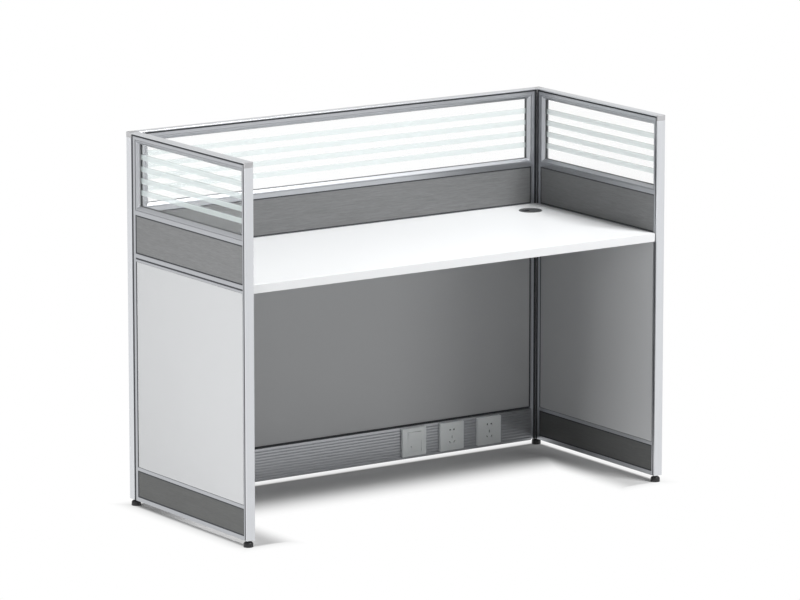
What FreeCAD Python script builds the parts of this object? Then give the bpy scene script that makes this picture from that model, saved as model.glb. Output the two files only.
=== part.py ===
"""Cubicle workstation: a worktop between three aluminium-framed partitions.

Millimetres. The origin is on the floor under the middle of the workstation,
+Z is up, +X is the user's right and +Y runs from the open front to the back.

Each partition is built in its own frame: along (local X) runs from the first
stile to the last, across (local Y) through the thickness, and Z is the height.
"""
import FreeCAD
import Part
import Sketcher
import math
import os

Vector = FreeCAD.Vector
Rotation = FreeCAD.Rotation

# Driving sizes: name, millimetres, meaning
DRIVING_SIZES = [
    ("inner_width", 1400.0, "between the inner faces of the side partitions"),
    ("worktop_depth", 600.0, "back partition to the front edge of the worktop"),
    ("front_setback", 6.0, "worktop edge behind the partition ends"),
    ("partition_thickness", 28.0, "every partition and corner post"),
    ("frame_clearance", 20.0, "floor to the underside of the frames"),
    ("bottom_rail_face", 11.8, "visible height of the bottom rail"),
    ("skirting_height", 79.4, "opening between bottom rail and skirting rail"),
    ("skirting_rail_face", 9.6, "visible height of the skirting rail"),
    ("lower_height", 607.4, "opening between skirting rail and desk rail"),
    ("desk_rail_face", 22.6, "visible height of the desk rail"),
    ("upper_height", 113.4, "opening between desk rail and window rail"),
    ("window_rail_face", 12.8, "visible height of the window rail"),
    ("window_height", 206.0, "opening between window rail and top rail"),
    ("top_rail_face", 8.5, "visible height of the top rail"),
    ("top_groove_height", 5.0, "shadow groove under the top cover"),
    ("top_cover_side", 3.5, "visible side height of the top cover"),
    ("top_cover_plate", 1.8, "plate thickness of the top cover"),
    ("top_cover_lip", 2.0, "side lip thickness of the top cover"),
    ("neck_width", 9.0, "recessed neck between a corner post and the stile face"),
    ("neck_recess", 5.0, "depth of a neck behind the partition face"),
    ("stile_face", 10.8, "visible width of a stile beside a corner post"),
    ("front_neck_width", 8.0, "neck of the front stile, under the end cover"),
    ("front_stile_face", 4.5, "visible width of a front stile"),
    ("end_cover_plate", 2.0, "thickness of a front end cover"),
    ("end_cover_lip", 3.5, "side lip of a front end cover behind its plate"),
    ("core_reach", 7.0, "how far a frame core stands out under the boards"),
    ("desk_rail_reach", 48.0, "deep lower flange of the desk rail"),
    ("rail_wall", 2.0, "wall of the frame sections"),
    ("post_wall", 2.0, "wall of a corner post"),
    ("post_corner_radius", 2.5, "outer edge of a corner post"),
    ("cover_edge_radius", 1.2, "edges of covers and caps"),
    ("cap_height", 16.0, "plastic caps over posts and end covers"),
    ("cap_plug_depth", 12.0, "plug of a corner cap inside its post"),
    ("rail_slot_height", 5.0, "dark slot along the desk rail"),
    ("rail_slot_depth", 3.5, "depth of that slot"),
    ("rail_slot_rise", 6.3, "underside of the desk rail to the slot"),
    ("board_thickness", 5.0, "facing boards of a partition"),
    ("board_recess", 1.0, "board face behind the frame face"),
    ("board_gap", 4.2, "dark joint round a facing board"),
    ("front_board_gap", 2.8, "the same joint beside a front stile"),
    ("lower_board_gap", 1.0, "the same joint over and under a plain board"),
    ("seal_depth", 4.8, "thickness of a seal strip in a joint"),
    ("slot_seal_depth", 3.0, "dark strip in the slot of a desk rail"),
    ("groove_seal_depth", 2.5, "seal strips in the necks and top grooves"),
    ("seal_play", 0.3, "seal strip to the lip beside it"),
    ("glass_thickness", 5.0, "window pane"),
    ("glass_play", 1.0, "pane to frame at the sides and top"),
    ("bead_width", 11.8, "glazing bead from the frame to its inner edge"),
    ("bead_joint_width", 1.8, "shadow joint between frame and bead"),
    ("bead_joint_depth", 3.0, "depth of that joint behind the frame face"),
    ("bead_flat", 4.0, "frame to the start of a bead's slope"),
    ("bead_recess", 0.8, "bead face behind the frame face"),
    ("bead_slope_depth", 7.5, "depth of a bead's inner edge"),
    ("gasket_width", 1.2, "visible width of a window gasket"),
    ("gasket_step", 1.2, "gasket behind the bead's inner edge"),
    ("gasket_lip", 1.0, "thickness of a gasket on the glass"),
    ("worktop_thickness", 25.0, "worktop board"),
    ("worktop_drop", 0.8, "worktop surface under the top of the desk rail"),
    ("worktop_gap", 1.0, "worktop to the partitions"),
    ("edge_band_thickness", 2.0, "plastic edging"),
    ("edge_band_radius", 1.0, "rounded edges of the edging"),
    ("bracket_leg", 38.0, "legs of a worktop bracket"),
    ("bracket_plate", 3.0, "thickness of a worktop bracket"),
    ("bracket_length", 100.0, "length of a worktop bracket"),
    ("bracket_bend_radius", 2.5, "outer bend of a worktop bracket"),
    ("side_bracket_first", 99.0, "back partition to the middle of the rear side bracket"),
    ("side_bracket_pitch", 240.0, "between the two brackets of a side"),
    ("back_bracket_pitch", 450.0, "between the three brackets of the back"),
    ("screw_shank_radius", 1.9, "bracket screws"),
    ("screw_head_radius", 4.0, "head of a bracket screw"),
    ("screw_head_height", 2.4, "head of a bracket screw"),
    ("screw_length", 16.0, "shank of a bracket screw"),
    ("screw_hole_radius", 2.0, "hole for a bracket screw"),
    ("screw_inset", 20.0, "bracket end to its screws"),
    ("screw_leg_offset", 21.0, "outer corner of a bracket to its screws"),
    ("foot_radius", 14.0, "pad of a levelling foot"),
    ("foot_rim_height", 3.0, "straight rim of a foot pad"),
    ("foot_dome_height", 15.0, "floor to the top of the domed pad"),
    ("foot_hub_radius", 7.0, "hub under the frame"),
    ("foot_seat_gap", 0.3, "hub to the frame when screwed right in"),
    ("foot_stud_radius", 4.0, "threaded stud of a foot"),
    ("foot_stud_length", 34.0, "stud above the hub"),
    ("foot_thread_play", 0.05, "running clearance of the stud, on the radius"),
    ("insert_height", 25.0, "threaded insert over a foot"),
    ("grommet_from_side", 90.0, "cable outlet to the right partition"),
    ("grommet_from_back", 95.0, "cable outlet to the back partition"),
    ("grommet_flange_radius", 35.0, "flange of the cable outlet"),
    ("grommet_flange_height", 1.5, "flange over the worktop"),
    ("grommet_barrel_radius", 30.0, "barrel of the cable outlet"),
    ("grommet_hole_play", 0.3, "barrel to the hole in the worktop"),
    ("grommet_wall", 2.0, "wall of the barrel"),
    ("grommet_depth", 22.0, "barrel below the worktop surface"),
    ("grommet_ledge", 2.5, "ledge that carries the lid"),
    ("grommet_lid_thickness", 3.0, "lid of the cable outlet"),
    ("grommet_lid_play", 0.35, "lid to the bore of its ring"),
    ("grommet_slot_width", 18.0, "cable slot in the lid"),
    ("grommet_slot_reach", 22.0, "rim of the lid to the end of the slot"),
    ("raceway_proud", 10.0, "raceway cover in front of the frame face"),
    ("raceway_height", 98.0, "raceway cover"),
    ("raceway_plate", 2.5, "front wall of the raceway cover"),
    ("raceway_lip", 2.0, "top and bottom walls of the raceway cover"),
    ("raceway_end_gap", 3.0, "raceway cover to the stiles"),
    ("raceway_margin", 5.0, "plain edge of the cover beside its ribs"),
    ("raceway_groove_depth", 1.5, "grooves between the ribs"),
    ("raceway_groove_width", 4.0, "width of a groove between ribs"),
    ("raceway_seal_height", 5.0, "dark strip that closes the joint over the raceway cover"),
    ("raceway_seal_depth", 1.5, "thickness of that strip"),
    ("outlet_from_corner", 184.0, "right partition to the middle of the last outlet"),
    ("outlet_pitch", 137.0, "between the outlets"),
    ("outlet_plate_side", 86.0, "square outlet plates"),
    ("outlet_plate_depth", 9.0, "outlet plate in front of the cover"),
    ("outlet_plate_wall", 2.0, "side walls of an outlet plate"),
    ("outlet_plate_face", 2.5, "front wall of an outlet plate"),
    ("outlet_corner_radius", 3.0, "corners of an outlet plate"),
    ("outlet_edge_radius", 1.6, "front edges of an outlet plate"),
    ("outlet_box_width", 72.0, "wall box behind the cover"),
    ("outlet_box_height", 61.0, "wall box behind the cover"),
    ("outlet_box_depth", 22.0, "wall box behind the cover"),
    ("outlet_box_wall", 1.5, "wall of that box"),
    ("outlet_hole_width", 60.0, "cut-out in the cover"),
    ("outlet_hole_height", 57.0, "cut-out in the cover"),
    ("outlet_core_width", 56.0, "body of a socket or switch"),
    ("outlet_core_height", 54.0, "body of a socket or switch"),
    ("outlet_core_depth", 20.0, "body behind the cover's face"),
    ("outlet_flange_width", 78.0, "mounting flange of a socket or switch"),
    ("outlet_flange_thickness", 1.5, "mounting flange of a socket or switch"),
    ("outlet_screw_offset", 32.0, "middle of an outlet to its screws"),
    ("outlet_screw_radius", 1.6, "outlet screws"),
    ("outlet_screw_hole_radius", 1.75, "holes for the outlet screws"),
    ("outlet_screw_head_radius", 3.0, "outlet screws"),
    ("outlet_screw_head_height", 2.0, "outlet screws"),
    ("outlet_screw_length", 14.0, "outlet screws"),
    ("outlet_lug_width", 6.0, "screw lug inside a wall box"),
    ("outlet_lug_height", 12.0, "screw lug inside a wall box"),
    ("socket_front_width", 44.0, "raised front of a socket body"),
    ("socket_front_play", 0.3, "raised front to the back of the plate"),
    ("pin_pair_height", 20.0, "two-pin holes above the middle"),
    ("pin_pair_half_gap", 7.0, "two-pin holes from the middle line"),
    ("pin_hole_radius", 2.8, "two-pin holes"),
    ("earth_drop", 2.0, "earth slot below the middle"),
    ("earth_slot_height", 9.0, "earth slot"),
    ("live_drop", 17.5, "live and neutral slots below the middle"),
    ("live_half_gap", 8.0, "live and neutral slots from the middle line"),
    ("live_slot_length", 7.0, "live and neutral slots"),
    ("pin_slot_width", 3.0, "width of every flat slot"),
    ("chamber_width", 6.0, "contact chamber"),
    ("chamber_height", 10.0, "contact chamber"),
    ("chamber_depth", 16.0, "contact chamber behind the cover's face"),
    ("contact_leaf", 0.8, "sheet of a contact clip"),
    ("contact_play", 0.3, "contact clip to its chamber"),
    ("contact_length", 12.0, "contact clip"),
    ("shutter_travel", 4.2, "slide of a safety shutter"),
    ("shutter_length", 32.0, "safety shutter"),
    ("shutter_height", 11.0, "safety shutter"),
    ("shutter_thickness", 1.6, "safety shutter"),
    ("shutter_play", 0.3, "safety shutter to its recess"),
    ("rocker_width", 49.0, "switch rocker"),
    ("rocker_height", 61.0, "switch rocker"),
    ("rocker_thickness", 5.0, "switch rocker"),
    ("rocker_proud", 0.8, "rocker in front of its plate"),
    ("rocker_play", 0.5, "rocker to the edge of its opening"),
    ("rocker_pivot_depth", 4.0, "pivot line in front of the raceway cover"),
    ("rocker_hub_rear", 1.9, "hub of the rocker behind its pivot line"),
    ("rocker_hub_height", 7.0, "hub of the rocker"),
    ("rocker_pin_radius", 1.5, "pivot pins of the rocker"),
    ("rocker_pin_play", 0.05, "running clearance of the pins, on the radius"),
    ("rocker_pin_length", 3.2, "pivot pins of the rocker"),
    ("rocker_ear_gap", 0.5, "rocker side to the ear that carries it"),
    ("rocker_ear_thickness", 2.4, "ears of the switch body"),
    ("rocker_ear_height", 9.0, "ears of the switch body"),
    ("rocker_ear_rim", 0.7, "ear in front of its bore"),
    ("rocker_dish", 0.8, "hollow of the rocker's face"),
    ("indicator_width", 3.0, "lens window in the rocker"),
    ("indicator_height", 5.0, "lens window in the rocker"),
    ("indicator_drop", 14.0, "lens window below the pivot"),
    ("indicator_offset", 12.0, "lens window beside the middle"),
    ("indicator_depth", 0.8, "lens window in the rocker"),
    ("cut_overrun", 2.0, "how far every cut runs past its face"),
]
ROCKER_REST_DEGREES = 4.0
RACEWAY_GROOVE_COUNT = 10
FOOT_DOME_STEPS = 8
LIVE_SLOT_LEAN_SHARES = (0.5, 0.866)
SAME_LENGTH = 1e-4

doc = FreeCAD.newDocument("CubicleWorkstation")
sheet = doc.addObject("Spreadsheet::Sheet", "Sizes")


class Size:
    """A length that keeps both its value and the sheet formula behind it."""

    def __init__(self, value, formula):
        self.value = value
        self.formula = formula

    def __add__(self, other):
        other = as_size(other)
        return Size(self.value + other.value, "(%s + %s)" % (self.formula, other.formula))

    def __sub__(self, other):
        other = as_size(other)
        return Size(self.value - other.value, "(%s - %s)" % (self.formula, other.formula))

    def __rsub__(self, other):
        return as_size(other) - self

    def __mul__(self, factor):
        return Size(self.value * factor, "(%s * %r)" % (self.formula, factor))

    __radd__ = __add__
    __rmul__ = __mul__

    def __truediv__(self, divisor):
        return Size(self.value / divisor, "(%s / %r)" % (self.formula, divisor))

    def __neg__(self):
        return Size(-self.value, "(-1 * %s)" % self.formula)


def as_size(number):
    return number if isinstance(number, Size) else Size(float(number), repr(float(number)))


ZERO = as_size(0)
sheet_rows = []


def add_cell(name, content, value, meaning):
    """Write one row of the sheet and return its size."""
    row = len(sheet_rows) + 1
    sheet_rows.append(name)
    sheet.set("A%d" % row, name)
    sheet.set("B%d" % row, content)
    sheet.setAlias("B%d" % row, name)
    sheet.set("C%d" % row, meaning)
    return Size(value, "Sizes.%s" % name)


def derive(name, size, meaning):
    """Keep a worked-out size in the sheet, so that formulas stay short."""
    return add_cell(name, "=" + size.formula.replace("Sizes.", ""), size.value, meaning)


class Sizes:
    """Every driving size by its name."""


dim = Sizes()
for size_name, millimetres, size_meaning in DRIVING_SIZES:
    setattr(dim, size_name, add_cell(size_name, repr(millimetres), millimetres, size_meaning))


# Levels above the floor, from the bottom rail up
bottom_rail_top = derive("bottom_rail_top", dim.frame_clearance + dim.bottom_rail_face, "level")
skirting_top = derive("skirting_top", bottom_rail_top + dim.skirting_height, "level")
lower_bottom = derive("lower_bottom", skirting_top + dim.skirting_rail_face, "level")
lower_top = derive("lower_top", lower_bottom + dim.lower_height, "level")
slot_low = derive("slot_low", lower_top + dim.rail_slot_rise, "level")
slot_high = derive("slot_high", slot_low + dim.rail_slot_height, "level")
upper_bottom = derive("upper_bottom", lower_top + dim.desk_rail_face, "level")
upper_top = derive("upper_top", upper_bottom + dim.upper_height, "level")
window_bottom = derive("window_bottom", upper_top + dim.window_rail_face, "level")
window_top = derive("window_top", window_bottom + dim.window_height, "level")
top_rail_top = derive("top_rail_top", window_top + dim.top_rail_face, "level")
cover_bottom = derive("cover_bottom", top_rail_top + dim.top_groove_height, "level")
overall_height = derive("overall_height", cover_bottom + dim.top_cover_side, "level")
cover_underside = derive("cover_underside", overall_height - dim.top_cover_plate, "level")
cap_bottom = derive("cap_bottom", overall_height - dim.cap_height, "level")
worktop_top = derive("worktop_top", upper_bottom - dim.worktop_drop, "level")
worktop_bottom = derive("worktop_bottom", worktop_top - dim.worktop_thickness, "level")

# Plan
thickness = dim.partition_thickness
overall_width = derive("overall_width", dim.inner_width + thickness * 2, "plan")
overall_depth = derive("overall_depth", thickness + dim.worktop_depth + dim.front_setback, "plan")
side_length = derive("side_length", dim.worktop_depth + dim.front_setback - dim.end_cover_plate,
                     "side partition from the corner post to the end cover")
inner_side = derive("inner_side", dim.inner_width / 2, "plan")
inner_back = derive("inner_back", overall_depth / 2 - thickness, "plan")
outer_side = derive("outer_side", overall_width / 2, "plan")
core_near = derive("core_near", dim.board_recess + dim.board_thickness, "core behind the face")
core_far = derive("core_far", thickness - core_near, "core behind the face")
stile_edge = derive("stile_edge", dim.neck_width + dim.stile_face, "post to the first opening")
front_edge = derive("front_edge", dim.front_neck_width + dim.front_stile_face,
                    "end of a side partition to its openings")
glass_near = derive("glass_near", thickness / 2 - dim.glass_thickness / 2, "glass behind the face")


def set_number(item, name, size):
    """Give a property its value and bind it to the sheet."""
    size = as_size(size)
    setattr(item, name, size.value)
    item.setExpression(name, size.formula)


def place(item, x=ZERO, y=ZERO, z=ZERO, rotation=None):
    """Put an object at a place that follows the sheet."""
    spot = [as_size(value) for value in (x, y, z)]
    base = Vector(spot[0].value, spot[1].value, spot[2].value)
    item.Placement = FreeCAD.Placement(base, rotation or Rotation())
    for axis, value in zip("xyz", spot):
        item.setExpression(".Placement.Base.%s" % axis, value.formula)
    return item


def box(name, low, high):
    """A block between two corners."""
    item = doc.addObject("Part::Box", name)
    for prop, start, end in zip(("Length", "Width", "Height"), low, high):
        set_number(item, prop, as_size(end) - as_size(start))
    return place(item, *low)


def rod(name, radius, length, x, y, z, rotation=None):
    """A cylinder that starts at a point and runs along its local Z."""
    item = doc.addObject("Part::Cylinder", name)
    set_number(item, "Radius", radius)
    set_number(item, "Height", length)
    return place(item, x, y, z, rotation)


def group(name, items):
    item = doc.addObject("Part::Compound", name)
    item.Links = items
    return item


def cut(name, base, tool):
    item = doc.addObject("Part::Cut", name)
    item.Base = base
    item.Tool = tool
    return item


def fuse(name, items):
    item = doc.addObject("Part::MultiFuse", name)
    item.Shapes = items
    return item


def mirrored(name, source, across):
    """The same piece on the other face of a partition."""
    item = doc.addObject("Part::Mirroring", name)
    item.Source = source
    item.Normal = Vector(0, 1, 0)
    item.Base = Vector(0, across.value, 0)
    item.setExpression("Base.y", across.formula)
    return item


def new_body(name):
    return doc.addObject("PartDesign::Body", name)


def new_sketch(body, plane, name, offset=None):
    """A sketch on one of the body's own origin planes."""
    sketch = body.newObject("Sketcher::SketchObject", name)
    planes = [plane_item for plane_item in body.Origin.OriginFeatures if plane_item.Role == plane]
    sketch.AttachmentSupport = [(planes[0], "")]
    sketch.MapMode = "FlatFace"
    if offset is not None:
        sketch.AttachmentOffset = FreeCAD.Placement(Vector(0, 0, offset.value), Rotation())
        sketch.setExpression("AttachmentOffset.Base.z", offset.formula)
    return sketch


def pin_point(sketch, geometry, point, across, up):
    """Hold a sketch point at two distances from the sketch origin."""
    for kind, size in (("DistanceX", as_size(across)), ("DistanceY", as_size(up))):
        index = sketch.addConstraint(
            Sketcher.Constraint(kind, -1, 1, geometry, point, size.value))
        sketch.setExpression("Constraints[%d]" % index, size.formula)


def draw_polygon(sketch, points):
    """A closed outline whose every corner follows the sheet."""
    points = [(as_size(across), as_size(up)) for across, up in points]
    first = sketch.GeometryCount
    count = len(points)
    for index, (across, up) in enumerate(points):
        next_across, next_up = points[(index + 1) % count]
        start = Vector(across.value, up.value, 0)
        end = Vector(next_across.value, next_up.value, 0)
        sketch.addGeometry(Part.LineSegment(start, end), False)
    for index in range(count):
        following = first + (index + 1) % count
        sketch.addConstraint(Sketcher.Constraint("Coincident", first + index, 2, following, 1))
    for index, (across, up) in enumerate(points):
        pin_point(sketch, first + index, 1, across, up)


def draw_rectangle(sketch, left, bottom, right, top):
    draw_polygon(sketch, [(left, bottom), (right, bottom), (right, top), (left, top)])


def draw_circle(sketch, across, up, radius):
    across, up = as_size(across), as_size(up)
    index = sketch.GeometryCount
    centre = Vector(across.value, up.value, 0)
    sketch.addGeometry(Part.Circle(centre, Vector(0, 0, 1), radius.value), False)
    pin_point(sketch, index, 3, across, up)
    bound = sketch.addConstraint(Sketcher.Constraint("Radius", index, radius.value))
    sketch.setExpression("Constraints[%d]" % bound, radius.formula)


def pad(body, sketch, name, length, reverse=False):
    feature = body.newObject("PartDesign::Pad", name)
    feature.Profile = sketch
    set_number(feature, "Length", length)
    feature.Reversed = reverse
    return feature


def pocket(body, sketch, name, length, reverse=False):
    feature = body.newObject("PartDesign::Pocket", name)
    feature.Profile = sketch
    set_number(feature, "Length", length)
    feature.Reversed = reverse
    return feature


def round_edges(body, base, name, radius, wanted):
    """Round the edges of a feature whose two ends pass a test."""
    doc.recompute()
    edges = []
    for index, edge in enumerate(base.Shape.Edges):
        ends = [vertex.Point for vertex in edge.Vertexes]
        if len(ends) == 2 and wanted(ends[0], ends[1]):
            edges.append("Edge%d" % (index + 1))
    feature = body.newObject("PartDesign::Fillet", name)
    feature.Base = (base, edges)
    set_number(feature, "Radius", radius)
    return feature


def near(first, second):
    """Whether two numbers are the same length."""
    return abs(first - second) < SAME_LENGTH


class Partition:
    """Where one partition stands and how its openings run."""

    def __init__(self, name, x, y, turned, length, last_edge, last_neck, last_gap, inside_near):
        self.name = name
        self.x = x
        self.y = y
        self.turned = turned
        self.length = length
        self.first = stile_edge
        self.last = length - last_edge
        self.last_neck = last_neck
        self.last_gap = last_gap
        self.inside_near = inside_near
        self.rotation = Rotation(Vector(0, 0, 1), -90) if turned else Rotation()

    def world(self, along, across):
        """Turn a place in the partition's own plan into the whole plan."""
        if self.turned:
            return self.x + across, self.y - along
        return self.x + along, self.y + across

    def put(self, item, along=ZERO, across=ZERO, up=ZERO):
        x, y = self.world(along, across)
        return place(item, x, y, up, self.rotation)


left = Partition("left", -outer_side, inner_back, True, side_length, front_edge,
                 dim.front_neck_width, dim.front_board_gap, False)
back = Partition("back", -inner_side, inner_back, False, dim.inner_width, stile_edge,
                 dim.neck_width, dim.board_gap, True)
right = Partition("right", inner_side, inner_back, True, side_length, front_edge,
                  dim.front_neck_width, dim.front_board_gap, True)
PARTITIONS = (left, back, right)

nodes = []


def node(item, name):
    """Name a finished sub-part."""
    item.Label = name
    nodes.append(item)
    return item


def bracket_middles(part):
    """Places of the worktop brackets along a partition."""
    if part is back:
        return [part.length / 2 + dim.back_bracket_pitch * step for step in (-1, 0, 1)]
    return [dim.side_bracket_first + dim.side_bracket_pitch * step for step in (0, 1)]


def bracket_screw_places(part):
    """Places of the bracket screws along a partition, two to a bracket."""
    half = dim.bracket_length / 2 - dim.screw_inset
    return [middle + half * side for middle in bracket_middles(part) for side in (-1, 1)]


def rail_outline(bottom, top, reach_down, reach_up, slotted=False):
    """Section of a rail: full thickness at its face, a slimmer core under the boards."""
    points = []
    if reach_down is None:
        points += [(ZERO, bottom), (thickness, bottom)]
    else:
        points += [(ZERO, bottom), (core_near, bottom), (core_near, bottom - reach_down),
                   (core_far, bottom - reach_down), (core_far, bottom), (thickness, bottom)]
    if slotted:
        inner = thickness - dim.rail_slot_depth
        points += [(thickness, slot_low), (inner, slot_low), (inner, slot_high),
                   (thickness, slot_high)]
    points.append((thickness, top))
    if reach_up is not None:
        points += [(core_far, top), (core_far, top + reach_up), (core_near, top + reach_up),
                   (core_near, top)]
    points.append((ZERO, top))
    if slotted:
        points += [(ZERO, slot_high), (dim.rail_slot_depth, slot_high),
                   (dim.rail_slot_depth, slot_low), (ZERO, slot_low)]
    return points


def make_rail(part, name, bottom, top, reach_down, reach_up, slotted=False):
    """A hollow rail between the two stiles of a partition."""
    body = new_body("%s_%s" % (part.name, name))
    sketch = new_sketch(body, "YZ_Plane", "%s_section" % name)
    draw_polygon(sketch, rail_outline(bottom, top, reach_down, reach_up, slotted))
    low = bottom if reach_down is None else bottom - reach_down
    high = top if reach_up is None else top + reach_up
    draw_rectangle(sketch, core_near + dim.rail_wall, low + dim.rail_wall,
                   core_far - dim.rail_wall, high - dim.rail_wall)
    length = part.last - part.first
    pad(body, sketch, "%s_run" % name, length)
    over = dim.cut_overrun
    copes = new_sketch(body, "XY_Plane", "%s_copes" % name, low - over)
    draw_rectangle(copes, -over, core_near, dim.core_reach, core_far)
    draw_rectangle(copes, length - dim.core_reach, core_near, length + over, core_far)
    pocket(body, copes, "%s_cope_cut" % name, high - low + over * 2, reverse=True)
    if slotted:
        plane_offset = None if part.inside_near else -thickness
        screws = new_sketch(body, "XZ_Plane", "%s_screw_holes" % name, plane_offset)
        for spot in bracket_screw_places(part):
            draw_circle(screws, spot - part.first, worktop_bottom - dim.screw_leg_offset,
                        dim.screw_hole_radius)
        pocket(body, screws, "%s_screw_cut" % name, core_near + dim.rail_wall + over,
               reverse=not part.inside_near)
    return place(body, part.first)


def make_top_rail(part):
    """The top rail, which runs over the stiles and carries the top cover on its neck."""
    body = new_body("%s_top_rail" % part.name)
    section = new_sketch(body, "YZ_Plane", "top_rail_section", dim.neck_width)
    draw_polygon(section, rail_outline(window_top, top_rail_top, None, None))
    draw_rectangle(section, core_near + dim.rail_wall, window_top + dim.rail_wall,
                   core_far - dim.rail_wall, top_rail_top - dim.rail_wall)
    pad(body, section, "top_rail_run", part.length - dim.neck_width - part.last_neck)
    neck = new_sketch(body, "YZ_Plane", "top_neck_section")
    draw_rectangle(neck, dim.neck_recess, top_rail_top, thickness - dim.neck_recess,
                   cover_underside)
    pad(body, neck, "top_neck_run", part.length)
    core_start = part.first + dim.core_reach
    under = new_sketch(body, "YZ_Plane", "top_core_section", core_start)
    draw_rectangle(under, core_near, window_top - dim.core_reach, core_far, window_top)
    pad(body, under, "top_core_run", part.last - dim.core_reach - core_start)
    return body


def make_rails(part):
    rails = [
        make_rail(part, "bottom_rail", dim.frame_clearance, bottom_rail_top, None,
                  dim.core_reach),
        make_rail(part, "skirting_rail", skirting_top, lower_bottom, dim.core_reach,
                  dim.core_reach),
        make_rail(part, "desk_rail", lower_top, upper_bottom, dim.desk_rail_reach,
                  dim.core_reach, slotted=True),
        make_rail(part, "window_rail", upper_top, window_bottom, dim.core_reach,
                  dim.core_reach),
        make_top_rail(part),
    ]
    rail_group = group("%s_rail_set" % part.name, rails)
    return node(part.put(rail_group), "%s_rails" % part.name)


def make_stile(part, name, start, neck, face, flip):
    """A hollow upright: neck, visible face, and a core under the boards."""
    body = new_body("%s_%s" % (part.name, name))
    reach = neck + face + dim.core_reach
    outline = [(ZERO, dim.neck_recess), (neck, dim.neck_recess), (neck, ZERO),
               (neck + face, ZERO), (neck + face, core_near), (reach, core_near),
               (reach, core_far), (neck + face, core_far), (neck + face, thickness),
               (neck, thickness), (neck, thickness - dim.neck_recess),
               (ZERO, thickness - dim.neck_recess)]
    void = [(dim.rail_wall, core_near + dim.rail_wall), (reach - dim.rail_wall, core_near + dim.rail_wall),
            (reach - dim.rail_wall, core_far - dim.rail_wall), (dim.rail_wall, core_far - dim.rail_wall)]
    top_outline = [(ZERO, dim.neck_recess), (neck, dim.neck_recess),
                   (neck, thickness - dim.neck_recess), (ZERO, thickness - dim.neck_recess)]
    if flip:
        outline = [(-along, across) for along, across in outline]
        void = [(-along, across) for along, across in void]
        top_outline = [(-along, across) for along, across in top_outline]
    height = window_top - dim.frame_clearance
    section = new_sketch(body, "XY_Plane", "%s_section" % name)
    draw_polygon(section, outline)
    draw_polygon(section, void)
    pad(body, section, "%s_run" % name, height)
    neck_section = new_sketch(body, "XY_Plane", "%s_neck_section" % name, height)
    draw_polygon(neck_section, top_outline)
    pad(body, neck_section, "%s_neck_run" % name, dim.top_rail_face)
    part.put(body, start, ZERO, dim.frame_clearance)
    return node(body, "%s_%s" % (part.name, name))


def board_zones(part):
    """Openings of a partition that facing boards fill."""
    return {"skirting": (bottom_rail_top, skirting_top),
            "lower": (lower_bottom, lower_top),
            "upper": (upper_bottom, upper_top)}


def joint_height(zone):
    """Height of the joint over and under the boards of an opening."""
    return dim.lower_board_gap if zone == "lower" else dim.board_gap


def make_boards(part, zone, faces):
    """The facing boards of one opening, lying on the frame's core."""
    bottom, top = board_zones(part)[zone]
    joint = joint_height(zone)
    boards = []
    for face in faces:
        near_face = dim.board_recess if face == "near" else core_far
        name = "%s_%s_%s" % (part.name, zone, face)
        low = (part.first + dim.board_gap, near_face, bottom + joint)
        high = (part.last - part.last_gap, near_face + dim.board_thickness, top - joint)
        board = box(name, low, high)
        inside = (face == "near") == part.inside_near
        if zone == "lower" and inside:
            holes = [rod("%s_hole_%d" % (name, index), dim.screw_hole_radius,
                         dim.board_thickness + dim.cut_overrun * 2, spot,
                         near_face - dim.cut_overrun, worktop_bottom - dim.screw_leg_offset,
                         Rotation(Vector(1, 0, 0), -90))
                     for index, spot in enumerate(bracket_screw_places(part))]
            board = cut("%s_drilled" % name, board, group("%s_holes" % name, holes))
        boards.append(board)
    board_group = group("%s_%s_pair" % (part.name, zone), boards)
    return node(part.put(board_group), "%s_%s_boards" % (part.name, zone))


def make_core_fill(part):
    """Honeycomb boards between the facing boards."""
    zones = board_zones(part)
    fills = []
    for zone in ("skirting", "lower", "upper"):
        if zone == "skirting" and part is back:
            continue
        bottom, top = zones[zone]
        reach_above = dim.desk_rail_reach if zone == "lower" else dim.core_reach
        fills.append(box("%s_%s_fill" % (part.name, zone),
                         (part.first + dim.core_reach, core_near, bottom + dim.core_reach),
                         (part.last - dim.core_reach, core_far, top - reach_above)))
    return node(part.put(group("%s_fill_set" % part.name, fills)), "%s_honeycomb_fill" % part.name)


def make_glass(part):
    pane = box("%s_pane" % part.name,
               (part.first + dim.core_reach + dim.glass_play, glass_near,
                window_bottom + dim.core_reach),
               (part.last - dim.core_reach - dim.glass_play, glass_near + dim.glass_thickness,
                window_top - dim.core_reach - dim.glass_play))
    x, y = part.world(part.first + dim.core_reach + dim.glass_play, glass_near)
    place(pane, x, y, window_bottom + dim.core_reach, part.rotation)
    return node(pane, "%s_glass" % part.name)


def mitred_bar(name, outline, width, length):
    """A straight strip with both ends cut at 45 degrees."""
    body = new_body(name)
    section = new_sketch(body, "YZ_Plane", "strip_section")
    draw_polygon(section, outline)
    pad(body, section, "strip_run", length)
    reach = width + dim.cut_overrun
    over = dim.cut_overrun
    ends = new_sketch(body, "XZ_Plane", "strip_mitres")
    draw_polygon(ends, [(-over, -over), (reach, reach), (-over, reach)])
    draw_polygon(ends, [(length + over, -over), (length + over, reach), (length - reach, reach)])
    pocket(body, ends, "strip_mitre_cut", thickness)
    return body


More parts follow.
